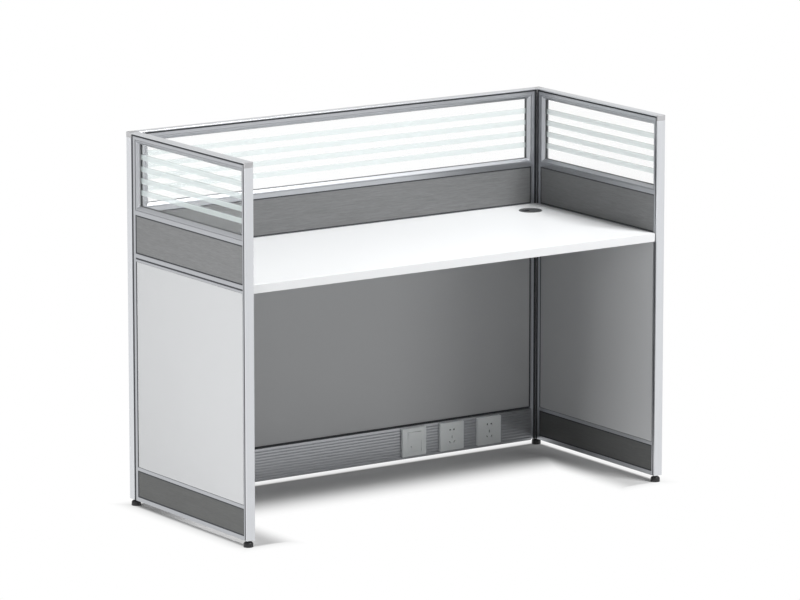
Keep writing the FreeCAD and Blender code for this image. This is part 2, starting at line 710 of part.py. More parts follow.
def window_ring(part, name, outline, width):
    """Four mitred strips round the window, and the same on the other face."""
    span = part.last - part.first
    rise = window_top - window_bottom
    sides = [("sill", span, part.first, window_bottom, 0),
             ("head", span, part.last, window_top, 180),
             ("first", rise, part.first, window_top, 90),
             ("last", rise, part.last, window_bottom, -90)]
    bars = []
    for side, length, along, up, degrees in sides:
        bar = mitred_bar("%s_%s_%s" % (part.name, name, side), outline, width, length)
        place(bar, along, ZERO, up, Rotation(Vector(0, 1, 0), degrees))
        bars.append(bar)
    ring = group("%s_%s_ring" % (part.name, name), bars)
    return [ring, mirrored("%s_%s_mirror" % (part.name, name), ring, thickness / 2)]


def make_beads(part):
    leg = dim.core_reach + dim.seal_play
    depth = glass_near - dim.gasket_lip
    outline = [(dim.bead_joint_depth, ZERO), (dim.bead_joint_depth, dim.bead_joint_width),
               (dim.bead_recess, dim.bead_joint_width), (dim.bead_recess, dim.bead_flat),
               (dim.bead_slope_depth, dim.bead_width), (depth, dim.bead_width),
               (depth, leg), (core_near, leg), (core_near, ZERO)]
    rings = window_ring(part, "bead", outline, dim.bead_width)
    return node(part.put(group("%s_bead_set" % part.name, rings)), "%s_glazing_beads" % part.name)


def gasket_rings(part):
    """Window gaskets between bead and glass."""
    step = dim.bead_slope_depth + dim.gasket_step
    lip = glass_near - dim.gasket_lip
    width = dim.bead_width + dim.gasket_width
    outer = dim.core_reach + dim.glass_play + dim.seal_play
    outline = [(step, dim.bead_width), (lip, width), (glass_near, width), (glass_near, outer),
               (lip, outer), (lip, dim.bead_width)]
    return window_ring(part, "gasket", outline, width)


def board_seal(part, zone):
    """A dark strip all round one facing board, in the joint beside the frame."""
    bottom, top = board_zones(part)[zone]
    name = "%s_%s_seal" % (part.name, zone)
    outer_depth = core_near - dim.seal_depth
    joint = joint_height(zone)
    over = dim.cut_overrun
    outside = box(name + "_outer", (part.first, outer_depth, bottom),
                  (part.last, core_near, top))
    inside = box(name + "_inner",
                 (part.first + dim.board_gap, outer_depth - over, bottom + joint),
                 (part.last - part.last_gap, core_near + over, top - joint))
    return cut(name, outside, inside)


def make_seals(part):
    """Gaskets, board seals and groove strips of a partition."""
    items = gasket_rings(part)
    zones = ["skirting", "lower", "upper"]
    for zone in zones:
        ring = board_seal(part, zone)
        if zone == "skirting" and part is back:
            items.append(mirrored("%s_%s_outer_seal" % (part.name, zone), ring, thickness / 2))
            continue
        items += [ring, mirrored("%s_%s_other_seal" % (part.name, zone), ring, thickness / 2)]
    strip_near = dim.neck_recess - dim.groove_seal_depth
    last_lip = ZERO if part is back else dim.end_cover_lip + dim.seal_play
    strips = [
        box("%s_first_neck_strip" % part.name, (ZERO, strip_near, dim.frame_clearance),
            (dim.neck_width, dim.neck_recess, top_rail_top)),
        box("%s_last_neck_strip" % part.name,
            (part.length - part.last_neck, strip_near, dim.frame_clearance),
            (part.length - last_lip, dim.neck_recess, top_rail_top)),
        box("%s_top_groove_strip" % part.name, (ZERO, strip_near, top_rail_top),
            (part.length - last_lip, dim.neck_recess, cover_bottom)),
        box("%s_slot_strip" % part.name,
            (part.first, dim.rail_slot_depth - dim.slot_seal_depth, slot_low),
            (part.last, dim.rail_slot_depth, slot_high)),
    ]
    for strip in strips:
        items += [strip, mirrored(strip.Name + "_other", strip, thickness / 2)]
    if part is back:
        cover_top = dim.frame_clearance + dim.raceway_height
        items.append(box("raceway_strip", (part.first + dim.raceway_end_gap,
                                           -dim.raceway_seal_depth, cover_top),
                         (part.last - dim.raceway_end_gap, ZERO,
                          cover_top + dim.raceway_seal_height)))
    return node(part.put(group("%s_seal_set" % part.name, items)), "%s_seals" % part.name)


def make_top_cover(part):
    """A clip-on cover: plate and two side lips."""
    body = new_body("%s_top_cover_body" % part.name)
    section = new_sketch(body, "YZ_Plane", "cover_section")
    far = thickness - dim.top_cover_lip
    draw_polygon(section, [(ZERO, cover_bottom), (dim.top_cover_lip, cover_bottom),
                           (dim.top_cover_lip, cover_underside), (far, cover_underside),
                           (far, cover_bottom), (thickness, cover_bottom),
                           (thickness, overall_height), (ZERO, overall_height)])
    length = part.length if part is back else part.length - dim.end_cover_lip
    run = pad(body, section, "cover_run", length)
    top = overall_height.value
    sides = (0.0, thickness.value)

    def long_top_edge(start, end):
        return (near(start.z, top) and near(end.z, top) and near(start.y, end.y)
                and any(near(start.y, side) for side in sides))

    round_edges(body, run, "cover_soft_edges", dim.cover_edge_radius, long_top_edge)
    part.put(body)
    return node(body, "%s_top_cover" % part.name)


def make_post(name, side):
    """A square corner post with a rounded outer edge."""
    body = new_body(name + "_body")
    section = new_sketch(body, "XY_Plane", "post_section")
    draw_rectangle(section, ZERO, ZERO, thickness, thickness)
    draw_rectangle(section, dim.post_wall, dim.post_wall, thickness - dim.post_wall,
                   thickness - dim.post_wall)
    run = pad(body, section, "post_run", cap_bottom - dim.frame_clearance)
    outer_x = 0.0 if side < 0 else thickness.value

    def outer_edge(start, end):
        return (near(start.x, outer_x) and near(end.x, outer_x)
                and near(start.y, thickness.value) and near(end.y, thickness.value))

    round_edges(body, run, "post_outer_edge", dim.post_corner_radius, outer_edge)
    x = -outer_side if side < 0 else inner_side
    place(body, x, inner_back, dim.frame_clearance)
    return node(body, name)


def make_end_covers():
    """Clip-on covers over the front ends of the side partitions."""
    covers = []
    for side in (-1, 1):
        body = new_body("front_cover_%s" % ("left" if side < 0 else "right"))
        section = new_sketch(body, "XY_Plane", "end_cover_section")
        lip = dim.top_cover_lip
        depth = dim.end_cover_plate + dim.end_cover_lip
        far = thickness - lip
        draw_polygon(section, [(ZERO, ZERO), (thickness, ZERO), (thickness, depth),
                               (far, depth), (far, dim.end_cover_plate),
                               (lip, dim.end_cover_plate), (lip, depth), (ZERO, depth)])
        run = pad(body, section, "end_cover_run", cap_bottom - dim.frame_clearance)
        sides = (0.0, thickness.value)

        def front_corner(start, end):
            return (near(start.y, 0) and near(end.y, 0) and near(start.x, end.x)
                    and any(near(start.x, edge) for edge in sides))

        round_edges(body, run, "end_cover_soft_edges", dim.cover_edge_radius, front_corner)
        x = -outer_side if side < 0 else inner_side
        covers.append(place(body, x, -overall_depth / 2, dim.frame_clearance))
    return node(group("front_cover_pair", covers), "front_end_covers")


def make_caps():
    """Plastic caps: two over the corner posts, two over the front end covers."""
    caps = []
    for side in (-1, 1):
        word = "left" if side < 0 else "right"
        x = -outer_side if side < 0 else inner_side
        corner = new_body("corner_cap_%s" % word)
        block = new_sketch(corner, "XY_Plane", "corner_cap_section")
        draw_rectangle(block, ZERO, ZERO, thickness, thickness)
        top = pad(corner, block, "corner_cap_block", dim.cap_height)
        plug = new_sketch(corner, "XY_Plane", "corner_cap_plug_section")
        draw_rectangle(plug, dim.post_wall, dim.post_wall, thickness - dim.post_wall,
                       thickness - dim.post_wall)
        both = pad(corner, plug, "corner_cap_plug", dim.cap_plug_depth, reverse=True)
        outer_x = 0.0 if side < 0 else thickness.value

        def outer_rim(start, end):
            upper = near(start.z, dim.cap_height.value) and near(end.z, dim.cap_height.value)
            on_side = near(start.x, outer_x) and near(end.x, outer_x)
            on_back = near(start.y, thickness.value) and near(end.y, thickness.value)
            upright = on_side and on_back and min(start.z, end.z) > -SAME_LENGTH
            return upright or (upper and (on_side or on_back))

        round_edges(corner, both, "corner_cap_soft_edges", dim.cover_edge_radius, outer_rim)
        caps.append(place(corner, x, inner_back, cap_bottom))

        end = new_body("end_cap_%s" % word)
        shell = new_sketch(end, "XY_Plane", "end_cap_section")
        depth = dim.end_cover_plate + dim.end_cover_lip
        draw_rectangle(shell, ZERO, ZERO, thickness, depth)
        solid = pad(end, shell, "end_cap_block", dim.cap_height)

        def front_rim(start, end_point):
            in_front = near(start.y, 0) and near(end_point.y, 0)
            return in_front and not (near(start.z, 0) and near(end_point.z, 0))

        round_edges(end, solid, "end_cap_soft_edges", dim.cover_edge_radius, front_rim)
        hollow = new_sketch(end, "XY_Plane", "end_cap_hollow_section")
        draw_rectangle(hollow, dim.top_cover_lip, dim.end_cover_plate,
                       thickness - dim.top_cover_lip, depth + dim.cut_overrun)
        pocket(end, hollow, "end_cap_hollow", dim.cap_height - dim.top_cover_plate, reverse=True)
        caps.append(place(end, x, -overall_depth / 2, cap_bottom))
    return node(group("cap_set", caps), "post_caps")


def foot_places():
    """Plan places of the four feet, under the middle of each post end."""
    side = outer_side - thickness / 2
    front = overall_depth / 2 - thickness / 2
    return {"rear_left_foot": (-side, front), "front_left_foot": (-side, -front),
            "front_right_foot": (side, -front), "rear_right_foot": (side, front)}


def make_foot(name, x, y):
    """A domed pad, a hub and a threaded stud, turned about the upright axis."""
    bulge = dim.foot_radius - dim.foot_hub_radius
    rise = dim.foot_dome_height - dim.foot_rim_height
    body = new_body(name + "_body")
    section = new_sketch(body, "XZ_Plane", "foot_section")
    hub_top = dim.frame_clearance - dim.foot_seat_gap
    stud_top = hub_top + dim.foot_stud_length
    dome = []
    for step in range(FOOT_DOME_STEPS):
        turn = math.pi / 2 * step / FOOT_DOME_STEPS
        dome.append((dim.foot_hub_radius + bulge * math.cos(turn),
                     dim.foot_rim_height + rise * math.sin(turn)))
    draw_polygon(section, [(ZERO, ZERO), (dim.foot_radius, ZERO)] + dome
                 + [(dim.foot_hub_radius, dim.foot_dome_height),
                    (dim.foot_hub_radius, hub_top), (dim.foot_stud_radius, hub_top),
                    (dim.foot_stud_radius, stud_top), (ZERO, stud_top)])
    turned = body.newObject("PartDesign::Revolution", "foot_turned")
    turned.Profile = section
    turned.ReferenceAxis = (section, ["V_Axis"])
    turned.Angle = 360.0
    place(body, x, y)
    return node(body, name)


def make_foot_inserts():
    """Threaded plugs in the bottom of the posts and front stiles."""
    inserts = []
    bore = dim.foot_stud_radius + dim.foot_thread_play
    top = dim.frame_clearance + dim.insert_height
    for name, (x, y) in foot_places().items():
        if name.startswith("rear"):
            half = thickness / 2 - dim.post_wall
            low = (x - half, y - half, dim.frame_clearance)
            high = (x + half, y + half, top)
        else:
            half = (core_far - core_near) / 2 - dim.rail_wall
            void_front = -overall_depth / 2 + dim.end_cover_plate + dim.rail_wall
            void_back = (-overall_depth / 2 + dim.end_cover_plate + front_edge
                         + dim.core_reach - dim.rail_wall)
            low = (x - half, void_front, dim.frame_clearance)
            high = (x + half, void_back, top)
        block = box("insert_block_%s" % name, low, high)
        hole = rod("insert_bore_%s" % name, bore, dim.insert_height + dim.cut_overrun * 2,
                   x, y, dim.frame_clearance - dim.cut_overrun)
        inserts.append(cut("insert_%s" % name, block, hole))
    return node(group("insert_set", inserts), "foot_inserts")


def grommet_place():
    return inner_side - dim.grommet_from_side, inner_back - dim.grommet_from_back


def bracket_frames():
    """Each bracket's corner under the worktop: plan place and turn about Z.

    In a bracket's own frame X runs along it and +Y points away from the partition.
    """
    face = dim.board_recess
    frames = []
    for middle in bracket_middles(left):
        frames.append((-inner_side - face, inner_back - middle, -90))
    for middle in bracket_middles(back):
        frames.append((middle - inner_side, inner_back + face, 180))
    for middle in bracket_middles(right):
        frames.append((inner_side + face, inner_back - middle, 90))
    return frames


def turned_step(degrees, along, out):
    """A plan step in a bracket's own frame, turned into the whole plan."""
    steps = {-90: (out, -along), 180: (-along, -out), 90: (-out, along)}
    return steps[degrees]


def worktop_screw_places():
    half = dim.bracket_length / 2 - dim.screw_inset
    spots = []
    for x, y, degrees in bracket_frames():
        for side in (-1, 1):
            step_x, step_y = turned_step(degrees, half * side, dim.screw_leg_offset)
            spots.append((x + step_x, y + step_y))
    return spots


def make_worktop():
    """The board with its cable hole and the pilot holes of the bracket screws."""
    inset = dim.worktop_gap + dim.edge_band_thickness
    board = box("worktop_board", (-inner_side + inset, inner_back - dim.worktop_depth
                                  + dim.edge_band_thickness, worktop_bottom),
                (inner_side - inset, inner_back - inset, worktop_top))
    hole_x, hole_y = grommet_place()
    tools = [rod("grommet_hole", dim.grommet_barrel_radius + dim.grommet_hole_play,
                 dim.worktop_thickness + dim.cut_overrun * 2, hole_x, hole_y,
                 worktop_bottom - dim.cut_overrun)]
    depth = dim.screw_length - dim.bracket_plate
    for index, (x, y) in enumerate(worktop_screw_places()):
        tools.append(rod("pilot_hole_%d" % index, dim.screw_hole_radius,
                         depth + dim.cut_overrun * 2, x, y, worktop_bottom - dim.cut_overrun))
    return node(cut("worktop_cut", board, group("worktop_holes", tools)), "worktop")


def make_edge_band():
    """Plastic edging round all four edges of the worktop."""
    body = new_body("edge_band_body")
    width = dim.inner_width - dim.worktop_gap * 2
    depth = dim.worktop_depth - dim.worktop_gap
    outside = new_sketch(body, "XY_Plane", "edge_outline")
    draw_rectangle(outside, ZERO, ZERO, width, depth)
    run = pad(body, outside, "edge_block", dim.worktop_thickness)
    round_edges(body, run, "edge_soft_corners", dim.edge_band_radius, lambda start, end: True)
    inside = new_sketch(body, "XY_Plane", "edge_inner_outline")
    band = dim.edge_band_thickness
    draw_rectangle(inside, band, band, width - band, depth - band)
    pocket(body, inside, "edge_opening", dim.worktop_thickness, reverse=True)
    place(body, -inner_side + dim.worktop_gap, inner_back - dim.worktop_depth, worktop_bottom)
    return node(body, "worktop_edge_band")


def make_brackets():
    """Steel angles under the worktop."""
    brackets = []
    for index, (x, y, degrees) in enumerate(bracket_frames()):
        body = new_body("bracket_%d" % index)
        section = new_sketch(body, "YZ_Plane", "bracket_section")
        leg = dim.bracket_leg
        plate = dim.bracket_plate
        draw_polygon(section, [(ZERO, ZERO), (leg, ZERO), (leg, -plate), (plate, -plate),
                               (plate, -leg), (ZERO, -leg)])
        run = pad(body, section, "bracket_run", dim.bracket_length)

        def bend(start, end):
            return near(start.y, 0) and near(end.y, 0) and near(start.z, 0) and near(end.z, 0)

        round_edges(body, run, "bracket_bend", dim.bracket_bend_radius, bend)
        half = dim.bracket_length / 2
        spots = [half + (half - dim.screw_inset) * side for side in (-1, 1)]
        upper = new_sketch(body, "XY_Plane", "worktop_screw_holes")
        lower = new_sketch(body, "XZ_Plane", "partition_screw_holes")
        for spot in spots:
            draw_circle(upper, spot, dim.screw_leg_offset, dim.screw_hole_radius)
            draw_circle(lower, spot, -dim.screw_leg_offset, dim.screw_hole_radius)
        pocket(body, upper, "worktop_screw_cut", plate)
        pocket(body, lower, "partition_screw_cut", plate)
        start_x, start_y = turned_step(degrees, -half, ZERO)
        place(body, x + start_x, y + start_y, worktop_bottom, Rotation(Vector(0, 0, 1), degrees))
        brackets.append(body)
    return node(group("bracket_set", brackets), "worktop_brackets")


def make_screw(name, radius, length, head_radius, head_height):
    """A pan-head screw that points along +Z with its head below the origin."""
    body = new_body(name)
    section = new_sketch(body, "XZ_Plane", "screw_section")
    draw_polygon(section, [(ZERO, -head_height), (head_radius, -head_height),
                           (head_radius, ZERO), (radius, ZERO), (radius, length - radius),
                           (ZERO, length)])
    turned = body.newObject("PartDesign::Revolution", "screw_turned")
    turned.Profile = section
    turned.ReferenceAxis = (section, ["V_Axis"])
    turned.Angle = 360.0
    return body


def make_bracket_screws():
    """Screws from the brackets up into the worktop and sideways into the partitions."""
    screws = []

    def add(x, y, z, rotation):
        screw = make_screw("bracket_screw_%d" % len(screws), dim.screw_shank_radius,
                           dim.screw_length, dim.screw_head_radius, dim.screw_head_height)
        screws.append(place(screw, x, y, z, rotation))

    half = dim.bracket_length / 2 - dim.screw_inset
    plate = dim.bracket_plate
    into_partition = {-90: Rotation(Vector(0, 1, 0), -90), 180: Rotation(Vector(1, 0, 0), -90),
                      90: Rotation(Vector(0, 1, 0), 90)}
    for x, y, degrees in bracket_frames():
        for side in (-1, 1):
            step_x, step_y = turned_step(degrees, half * side, dim.screw_leg_offset)
            add(x + step_x, y + step_y, worktop_bottom - plate, Rotation())
            step_x, step_y = turned_step(degrees, half * side, plate)
            add(x + step_x, y + step_y, worktop_bottom - dim.screw_leg_offset,
                into_partition[degrees])
    return node(group("bracket_screw_set", screws), "bracket_screws")


def make_grommet_ring():
    """Flanged ring of the cable outlet, with a ledge for the lid."""
    body = new_body("grommet_ring_body")
    section = new_sketch(body, "XZ_Plane", "grommet_section")
    flange = dim.grommet_flange_height
    bore = dim.grommet_barrel_radius - dim.grommet_wall
    ledge = flange - dim.grommet_lid_thickness
    below = -dim.grommet_depth
    draw_polygon(section, [(bore, flange), (dim.grommet_flange_radius - flange / 2, flange),
                           (dim.grommet_flange_radius, flange / 2),
                           (dim.grommet_flange_radius, ZERO), (dim.grommet_barrel_radius, ZERO),
                           (dim.grommet_barrel_radius, below), (bore, below),
                           (bore, ledge - dim.grommet_ledge), (bore - dim.grommet_ledge, ledge),
                           (bore, ledge)])
    turned = body.newObject("PartDesign::Revolution", "grommet_turned")
    turned.Profile = section
    turned.ReferenceAxis = (section, ["V_Axis"])
    turned.Angle = 360.0
    x, y = grommet_place()
    place(body, x, y, worktop_top)
    return node(body, "grommet_ring")


def make_grommet_lid():
    """The turning lid with its cable slot, which faces left at rest."""
    body = new_body("grommet_lid_body")
    radius = dim.grommet_barrel_radius - dim.grommet_wall - dim.grommet_lid_play
    outline = new_sketch(body, "XY_Plane", "lid_outline")
    draw_circle(outline, ZERO, ZERO, radius)
    pad(body, outline, "lid_disc", dim.grommet_lid_thickness)
    slot = new_sketch(body, "XY_Plane", "lid_slot_outline")
    half = dim.grommet_slot_width / 2
    draw_rectangle(slot, -radius - dim.cut_overrun, -half, dim.grommet_slot_reach - radius, half)
    pocket(body, slot, "lid_slot", dim.grommet_lid_thickness, reverse=True)
    x, y = grommet_place()
    place(body, x, y, worktop_top + dim.grommet_flange_height - dim.grommet_lid_thickness)
    return node(body, "grommet_lid")


def outlet_places():
    """Middle of each outlet along X: switch, first socket, second socket."""
    last = inner_side - dim.outlet_from_corner
    return [last - dim.outlet_pitch * step for step in (2, 1, 0)]


outlet_level = derive("outlet_level", (bottom_rail_top + skirting_top) / 2, "middle of the outlets")
raceway_face = derive("raceway_face", inner_back - dim.raceway_proud, "front of the raceway")


def make_raceway_cover():
    """The ribbed cover with its three cut-outs and screw holes."""
    body = new_body("raceway_cover_body")
    section = new_sketch(body, "YZ_Plane", "raceway_section")
    top = dim.raceway_height
    plate = dim.raceway_plate
    lip = dim.raceway_lip
    depth = dim.raceway_proud
    groove = dim.raceway_groove_width
    ribbed = top - dim.raceway_margin * 2
    points = [(ZERO, ZERO)]
    for index in range(RACEWAY_GROOVE_COUNT):
        middle = dim.raceway_margin + ribbed * ((index + 0.5) / RACEWAY_GROOVE_COUNT)
        points += [(ZERO, middle - groove / 2), (dim.raceway_groove_depth, middle),
                   (ZERO, middle + groove / 2)]
    points += [(ZERO, top), (depth, top), (depth, top - lip), (plate, top - lip),
               (plate, lip), (depth, lip), (depth, ZERO)]
    draw_polygon(section, points)
    length = back.last - back.first - dim.raceway_end_gap * 2
    pad(body, section, "raceway_run", length)
    start = -inner_side + back.first + dim.raceway_end_gap
    holes = new_sketch(body, "XZ_Plane", "raceway_cut_outs")
    level = outlet_level - dim.frame_clearance
    half_width = dim.outlet_hole_width / 2
    half_height = dim.outlet_hole_height / 2
    for place_x in outlet_places():
        middle = place_x - start
        draw_rectangle(holes, middle - half_width, level - half_height, middle + half_width,
                       level + half_height)
        for side in (-1, 1):
            draw_circle(holes, middle + dim.outlet_screw_offset * side, level,
                        dim.outlet_screw_hole_radius)
    pocket(body, holes, "raceway_cut", plate + dim.cut_overrun)
    place(body, start, raceway_face, dim.frame_clearance)
    return node(body, "raceway_cover")


def make_outlet_boxes():
    """Shallow wall boxes behind the cover, with lugs for the outlet screws."""
    boxes = []
    front = raceway_face + dim.raceway_plate
    rear = front + dim.outlet_box_depth
    half_width = dim.outlet_box_width / 2
    half_height = dim.outlet_box_height / 2
    wall = dim.outlet_box_wall
    for index, x in enumerate(outlet_places()):
        outside = box("wall_box_%d_outer" % index, (x - half_width, front, outlet_level - half_height),
                      (x + half_width, rear, outlet_level + half_height))
        inside = box("wall_box_%d_inner" % index,
                     (x - half_width + wall, front - dim.cut_overrun,
                      outlet_level - half_height + wall),
                     (x + half_width - wall, rear - wall, outlet_level + half_height - wall))
        shell = cut("wall_box_%d_shell" % index, outside, inside)
        lugs = []
        bores = []
        for side in (-1, 1):
            spot = x + dim.outlet_screw_offset * side
            outer = x + (half_width - wall) * side
            inner = outer - dim.outlet_lug_width * side
            low, high = (inner, outer) if side > 0 else (outer, inner)
            lugs.append(box("wall_box_%d_lug_%d" % (index, side + 1),
                            (low, front, outlet_level - dim.outlet_lug_height / 2),
                            (high, front + dim.outlet_screw_length,
                             outlet_level + dim.outlet_lug_height / 2)))
            bores.append(rod("wall_box_%d_bore_%d" % (index, side + 1),
                             dim.outlet_screw_hole_radius,
                             dim.outlet_screw_length + dim.cut_overrun * 2, spot,
                             front - dim.cut_overrun, outlet_level,
                             Rotation(Vector(1, 0, 0), -90)))
        whole = fuse("wall_box_%d_whole" % index, [shell] + lugs)
        boxes.append(cut("wall_box_%d" % index, whole, group("wall_box_%d_bores" % index, bores)))
    return node(group("wall_box_set", boxes), "outlet_boxes")


def slanted_slot(sketch, across, up, lean):
    """A flat slot whose long axis leans towards one side."""
    half_length = dim.live_slot_length / 2
    half_width = dim.pin_slot_width / 2
    sine, cosine = LIVE_SLOT_LEAN_SHARES
    corners = []
    for end, side in ((-1, -1), (1, -1), (1, 1), (-1, 1)):
        corners.append((across + half_length * (end * sine * lean) + half_width * (side * cosine),
                        up + half_length * (end * cosine) - half_width * (side * sine * lean)))
    draw_polygon(sketch, corners)


def pin_holes(sketch):
    """The five openings of a socket face."""
    for side in (-1, 1):
        draw_circle(sketch, dim.pin_pair_half_gap * side, dim.pin_pair_height, dim.pin_hole_radius)
        slanted_slot(sketch, dim.live_half_gap * side, -dim.live_drop, side)
    half = dim.pin_slot_width / 2
    reach = dim.earth_slot_height / 2
    draw_rectangle(sketch, -half, -dim.earth_drop - reach, half, -dim.earth_drop + reach)


def make_plate(name, x, draw_openings):
    """A square outlet plate: a shallow shell with soft front edges."""
    body = new_body(name + "_body")
    outline = new_sketch(body, "XZ_Plane", "plate_outline")
    half = dim.outlet_plate_side / 2
    draw_rectangle(outline, -half, -half, half, half)
    block = pad(body, outline, "plate_block", dim.outlet_plate_depth)

    def corner(start, end):
        return near(start.x, end.x) and near(start.z, end.z)

    rounded = round_edges(body, block, "plate_corners", dim.outlet_corner_radius, corner)
    front = -dim.outlet_plate_depth.value

    def front_rim(start, end):
        return near(start.y, front) and near(end.y, front)

    round_edges(body, rounded, "plate_front_edges", dim.outlet_edge_radius, front_rim)
    hollow = new_sketch(body, "XZ_Plane", "plate_hollow_outline")
    inner = half - dim.outlet_plate_wall
    draw_rectangle(hollow, -inner, -inner, inner, inner)
    pocket(body, hollow, "plate_hollow", dim.outlet_plate_depth - dim.outlet_plate_face,
           reverse=True)
    openings = new_sketch(body, "XZ_Plane", "plate_openings")
    draw_openings(openings)
    pocket(body, openings, "plate_cut", dim.outlet_plate_depth + dim.cut_overrun, reverse=True)
    place(body, x, raceway_face, outlet_level)
    return node(body, name)


def rocker_opening(sketch):
    half_width = dim.rocker_width / 2 + dim.rocker_play
    half_height = dim.rocker_height / 2 + dim.rocker_play
    draw_rectangle(sketch, -half_width, -half_height, half_width, half_height)


def socket_face_depth():
    """How far a socket body's raised front stands before the cover."""
    return dim.outlet_plate_depth - dim.outlet_plate_face - dim.socket_front_play


def contact_spots():
    """Middles of the five contact chambers in a socket."""
    return [(-dim.pin_pair_half_gap, dim.pin_pair_height),
            (dim.pin_pair_half_gap, dim.pin_pair_height), (ZERO, -dim.earth_drop),
            (-dim.live_half_gap, -dim.live_drop), (dim.live_half_gap, -dim.live_drop)]


def block_at(name, x, spot_x, spot_z, width, height, front, rear):
    """A block round one spot of an outlet, between two depths from the cover's face."""
    return box(name, (x + spot_x - width / 2, raceway_face + front,
                      outlet_level + spot_z - height / 2),
               (x + spot_x + width / 2, raceway_face + rear, outlet_level + spot_z + height / 2))


def make_outlet_bodies():
    """The switch body with its two ears, and two socket bodies with their chambers."""
    bodies = []
    over = dim.cut_overrun
    for index, x in enumerate(outlet_places()):
        name = "outlet_body_%d" % index
        flange = block_at(name + "_flange", x, ZERO, ZERO, dim.outlet_flange_width,
                          dim.outlet_core_height, -dim.outlet_flange_thickness, ZERO)
        core = block_at(name + "_core", x, ZERO, ZERO, dim.outlet_core_width,
                        dim.outlet_core_height, -dim.outlet_flange_thickness,
                        dim.outlet_core_depth)
        solids = [flange, core]
        tools = []
        for side in (-1, 1):
            tools.append(rod("%s_screw_hole_%d" % (name, side + 1), dim.outlet_screw_hole_radius,
                             dim.outlet_flange_thickness + over * 2,
                             x + dim.outlet_screw_offset * side,
                             raceway_face - dim.outlet_flange_thickness - over, outlet_level,
                             Rotation(Vector(1, 0, 0), -90)))
        if index == 0:
            pivot = dim.rocker_pivot_depth
            for side in (-1, 1):
                middle = (dim.rocker_width / 2 + dim.rocker_ear_gap
                          + dim.rocker_ear_thickness / 2) * side
                ear_front = -pivot - dim.rocker_pin_radius - dim.rocker_ear_rim
                solids.append(block_at("%s_ear_%d" % (name, side + 1), x, middle, ZERO,
                                       dim.rocker_ear_thickness, dim.rocker_ear_height,
                                       ear_front, ZERO))
                tools.append(rod("%s_ear_bore_%d" % (name, side + 1),
                                 dim.rocker_pin_radius + dim.rocker_pin_play,
                                 dim.rocker_ear_thickness + over,
                                 x + middle - dim.rocker_ear_thickness / 2 - over / 2,
                                 raceway_face - pivot, outlet_level,
                                 Rotation(Vector(0, 1, 0), 90)))
        else:
            raised = socket_face_depth()
            solids.append(block_at(name + "_front", x, ZERO, ZERO, dim.socket_front_width,
                                   dim.outlet_core_height, -raised, ZERO))
            for spot, (spot_x, spot_z) in enumerate(contact_spots()):
                tools.append(block_at("%s_chamber_%d" % (name, spot), x, spot_x, spot_z,
                                      dim.chamber_width, dim.chamber_height,
                                      -raised - over, dim.chamber_depth))
            recess_length = dim.shutter_length + dim.shutter_travel + dim.shutter_play * 2
            recess_depth = dim.shutter_thickness + dim.shutter_play
            tools.append(block_at(name + "_recess", x, dim.shutter_travel / 2, -dim.live_drop,
                                  recess_length, dim.shutter_height + dim.shutter_play * 2,
                                  -raised - over, -raised + recess_depth))
        whole = fuse(name + "_whole", solids)
        bodies.append(cut(name, whole, group(name + "_tools", tools)))
    return node(group("outlet_body_set", bodies), "outlet_bodies")


def make_contacts():
    """Sprung brass clips in the chambers of the two sockets."""
    clips = []
    width = dim.chamber_width - dim.contact_play * 2
    height = dim.chamber_height - dim.contact_play * 2
    rear = dim.chamber_depth
    front = rear - dim.contact_length
    for index, x in enumerate(outlet_places()[1:]):
        for spot, (spot_x, spot_z) in enumerate(contact_spots()):
            name = "contact_%d_%d" % (index, spot)
            outside = block_at(name + "_outer", x, spot_x, spot_z, width, height, front, rear)
            inside = block_at(name + "_inner", x, spot_x, spot_z, width - dim.contact_leaf * 2,
                              height + dim.cut_overrun * 2, front - dim.cut_overrun,
                              rear - dim.contact_leaf)
            clips.append(cut(name, outside, inside))
    return node(group("contact_set", clips), "socket_contacts")


def make_shutter(name, x):
    """A sliding safety shutter that covers the live and neutral slots at rest."""
    body = new_body(name + "_body")
    outline = new_sketch(body, "XZ_Plane", "shutter_outline")
    half = dim.shutter_length / 2
    reach = dim.shutter_height / 2
    draw_rectangle(outline, -half, -reach, half, reach)
    pad(body, outline, "shutter_sheet", dim.shutter_thickness)
    windows = new_sketch(body, "XZ_Plane", "shutter_windows")
    for side in (-1, 1):
        slanted_slot(windows, dim.live_half_gap * side - dim.shutter_travel, ZERO, side)
    pocket(body, windows, "shutter_cut", dim.shutter_thickness, reverse=True)
    back_of_recess = socket_face_depth() - dim.shutter_thickness - dim.shutter_play
    place(body, x, raceway_face - back_of_recess - dim.shutter_play / 2,
          outlet_level - dim.live_drop)
    return node(body, name)


